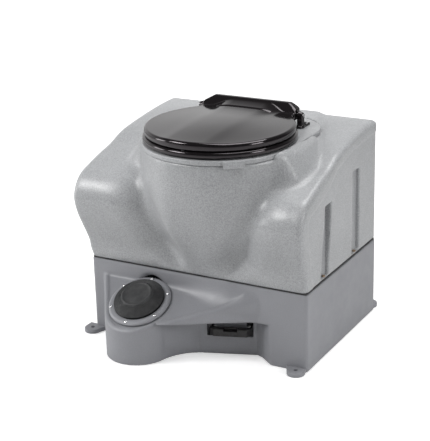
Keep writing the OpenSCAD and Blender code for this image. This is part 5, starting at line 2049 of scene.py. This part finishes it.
@dataclass
class Studio:
    """A pale floor, soft lamps and the photograph's camera. Lengths here are in metres."""

    yaw: float = 29.25
    pitch: float = 19.67
    roll: float = -1.57
    place: tuple[float, float, float] = (1.3919, -2.5823, 1.3075)
    lens: float = 105.4
    aim: tuple[float, float, float] = (0, -0.05, 0.3)
    lamps: tuple[Lamp, ...] = (
        Lamp("key", (-1.7, -1.8, 2.3), 1.0, 51),
        Lamp("top", (0.3, 0.4, 2.6), 1.6, 46),
        Lamp("fill", (2.8, -0.4, 1.3), 0.9, 27),
        Lamp("side", (-2.6, -1.1, 0.9), 1.0, 18),
    )
    floor_half: float = 9.0
    floor_z: float = -0.0005
    floor_white: tuple[float, float] = (0.86, 0.88)
    glow_from: float = 0.5
    glow_to: float = 3.5
    glow: tuple[float, float] = (0.42, 0.85)
    sweep_way: tuple[float, float, float] = (-0.8, 0.6, 0.0)
    sweep_to: float = 0.9
    sweep_low: float = 0.06
    dusk_from: float = 0.30
    dusk_to: float = 0.66
    dusk: tuple[float, float] = (0.92, 0.1)
    diffuse: float = 0.26

    def camera(self) -> None:
        """Puts the camera where the photograph was taken from."""
        yaw, pitch, roll = np.radians([self.yaw, self.pitch, self.roll])
        back = np.array([np.sin(yaw) * np.cos(pitch), -np.cos(yaw) * np.cos(pitch), np.sin(pitch)])
        right = np.array([np.cos(yaw), np.sin(yaw), 0])
        up = np.cross(back, right)
        across = np.cos(roll) * right + np.sin(roll) * up
        rise = -np.sin(roll) * right + np.cos(roll) * up
        data = bpy.data.cameras.new("camera")
        data.lens = self.lens
        data.sensor_width = 36
        data.clip_end = 50
        camera = bpy.data.objects.new("camera", data)
        matrix = Matrix([(*v,) for v in np.stack([across, rise, back], 1)]).to_4x4()
        matrix.translation = Vector(self.place)
        camera.matrix_world = matrix
        bpy.context.scene.collection.objects.link(camera)
        bpy.context.scene.camera = camera

    def floor(self) -> None:
        """Adds a white floor that keeps the object's shadow and grows paler with the distance."""
        h = self.floor_half
        mesh = bpy.data.meshes.new("floor")
        mesh.from_pydata([(-h, -h, 0), (h, -h, 0), (h, h, 0), (-h, h, 0)], [], [(0, 1, 2, 3)])
        floor = bpy.data.objects.new("floor", mesh)
        floor.location.z = self.floor_z
        bpy.context.scene.collection.objects.link(floor)
        m = Nodes("floor_white")
        m.shader.inputs["Roughness"].default_value = 0.9
        m.shader.inputs["Specular IOR Level"].default_value = 0.1
        low, high = self.floor_white
        white = m.ramp(m.noise(1.2, 1.0), [(0.3, (low,) * 3), (0.7, (high,) * 3)])
        m.join(white, m.shader.inputs["Base Color"])
        ray = m.add("ShaderNodeLightPath")
        far = m.add("ShaderNodeVectorMath", operation="LENGTH")
        m.join(m.place, far.inputs[0])
        haze = m.add("ShaderNodeMapRange", interpolation_type="SMOOTHSTEP")
        set_range(haze, self.glow_from, self.glow_to, *self.glow)
        m.join(far.outputs["Value"], haze.inputs["Value"])
        glow = m.add("ShaderNodeMath", operation="MULTIPLY")
        m.join(ray.outputs["Is Camera Ray"], glow.inputs[0])
        m.join(haze.outputs["Result"], glow.inputs[1])
        m.join(glow.outputs[0], m.shader.inputs["Emission Strength"])
        m.shader.inputs["Emission Color"].default_value = (1, 1, 1, 1)
        mesh.materials.append(m.material)

    def sky(self) -> None:
        """Makes the world a dim soft light. The camera sees it white, and gloss sees a white sweep behind."""
        world = bpy.data.worlds.new("studio")
        world.use_nodes = True
        nodes, links = world.node_tree.nodes, world.node_tree.links
        background = nodes["Background"]
        ray = nodes.new("ShaderNodeLightPath")
        way = nodes.new("ShaderNodeVectorMath")
        way.operation = "DOT_PRODUCT"
        way.inputs[1].default_value = self.sweep_way
        aim = nodes.new("ShaderNodeTexCoord").outputs["Generated"]
        links.new(aim, way.inputs[0])
        rise = nodes.new("ShaderNodeSeparateXYZ")
        links.new(aim, rise.inputs[0])
        dusk, sweep, mirror, seen = (nodes.new("ShaderNodeMapRange") for _ in range(4))
        set_range(dusk, self.dusk_from, self.dusk_to, *self.dusk)
        links.new(rise.outputs["Z"], dusk.inputs["Value"])
        set_range(sweep, 0.0, self.sweep_to, self.sweep_low, 1.0)
        links.new(dusk.outputs["Result"], sweep.inputs["To Max"])
        links.new(way.outputs["Value"], sweep.inputs["Value"])
        set_range(mirror, 0.0, 1.0, self.diffuse, 1.0)
        links.new(ray.outputs["Is Glossy Ray"], mirror.inputs["Value"])
        links.new(sweep.outputs["Result"], mirror.inputs["To Max"])
        links.new(ray.outputs["Is Camera Ray"], seen.inputs["Value"])
        links.new(mirror.outputs["Result"], seen.inputs["To Min"])
        links.new(seen.outputs["Result"], background.inputs["Strength"])
        background.inputs["Color"].default_value = (1, 1, 1, 1)
        bpy.context.scene.world = world

    def build(self) -> None:
        """Sets up the view, the floor, the world and the lamps."""
        bpy.context.scene.view_settings.view_transform = "Standard"
        self.camera()
        self.floor()
        self.sky()
        for lamp in self.lamps:
            lamp.light(self.aim)


CARRIED_OVER = {
    "joint_gasket": Finish.RUBBER,
    "joint_screws": Finish.BROWN_STEEL,
    "seat_bumpers": Finish.RUBBER,
    "lid_bumpers": Finish.RUBBER,
    "hinge_rod": Finish.STEEL,
    "hinge_bolts": Finish.STEEL,
    "hinge_nuts": Finish.STEEL,
    "pump_body": Finish.BASE,
    "inlet_valve": Finish.RUBBER,
    "outlet_valve": Finish.RUBBER,
    "strainer": Finish.DARK_PLASTIC,
    "spray_nozzle": Finish.DARK_PLASTIC,
    "pedal_pins": Finish.STEEL,
    "link_rod": Finish.STEEL,
    "link_pin": Finish.STEEL,
    "trap_frame": Finish.DARK_PLASTIC,
    "trap_screws": Finish.STEEL,
    "trap_flap": Finish.DARK_PLASTIC,
    "flap_seal": Finish.RUBBER,
    "flap_shaft": Finish.STEEL,
    "fill_seal": Finish.RUBBER,
}


def main() -> None:
    """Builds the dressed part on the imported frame."""
    logging.basicConfig(level=logging.INFO, format="%(name)s: %(message)s")
    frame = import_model()
    Studio().build()
    shop = Workshop()
    plate, mechanism, axis, hinge = DeckPlate(), Mechanism(), PumpAxis(), HingeLine()
    bowl = Bowl(plate)
    for assembly in (
        UpperHousing(plate, bowl),
        bowl,
        BaseHousing(mechanism, axis),
        SeatRing(hinge),
        Lid(hinge),
        HingePosts(hinge),
        LipClip(),
        FootPump(axis),
        Pedal(mechanism),
        FillCap(),
        Plumbing(axis, mechanism, plate),
    ):
        assembly.build(shop)
        LOG.info("%s built", type(assembly).__name__)
    shop.dress(frame, CARRIED_OVER)


if __name__ == "__main__":
    main()
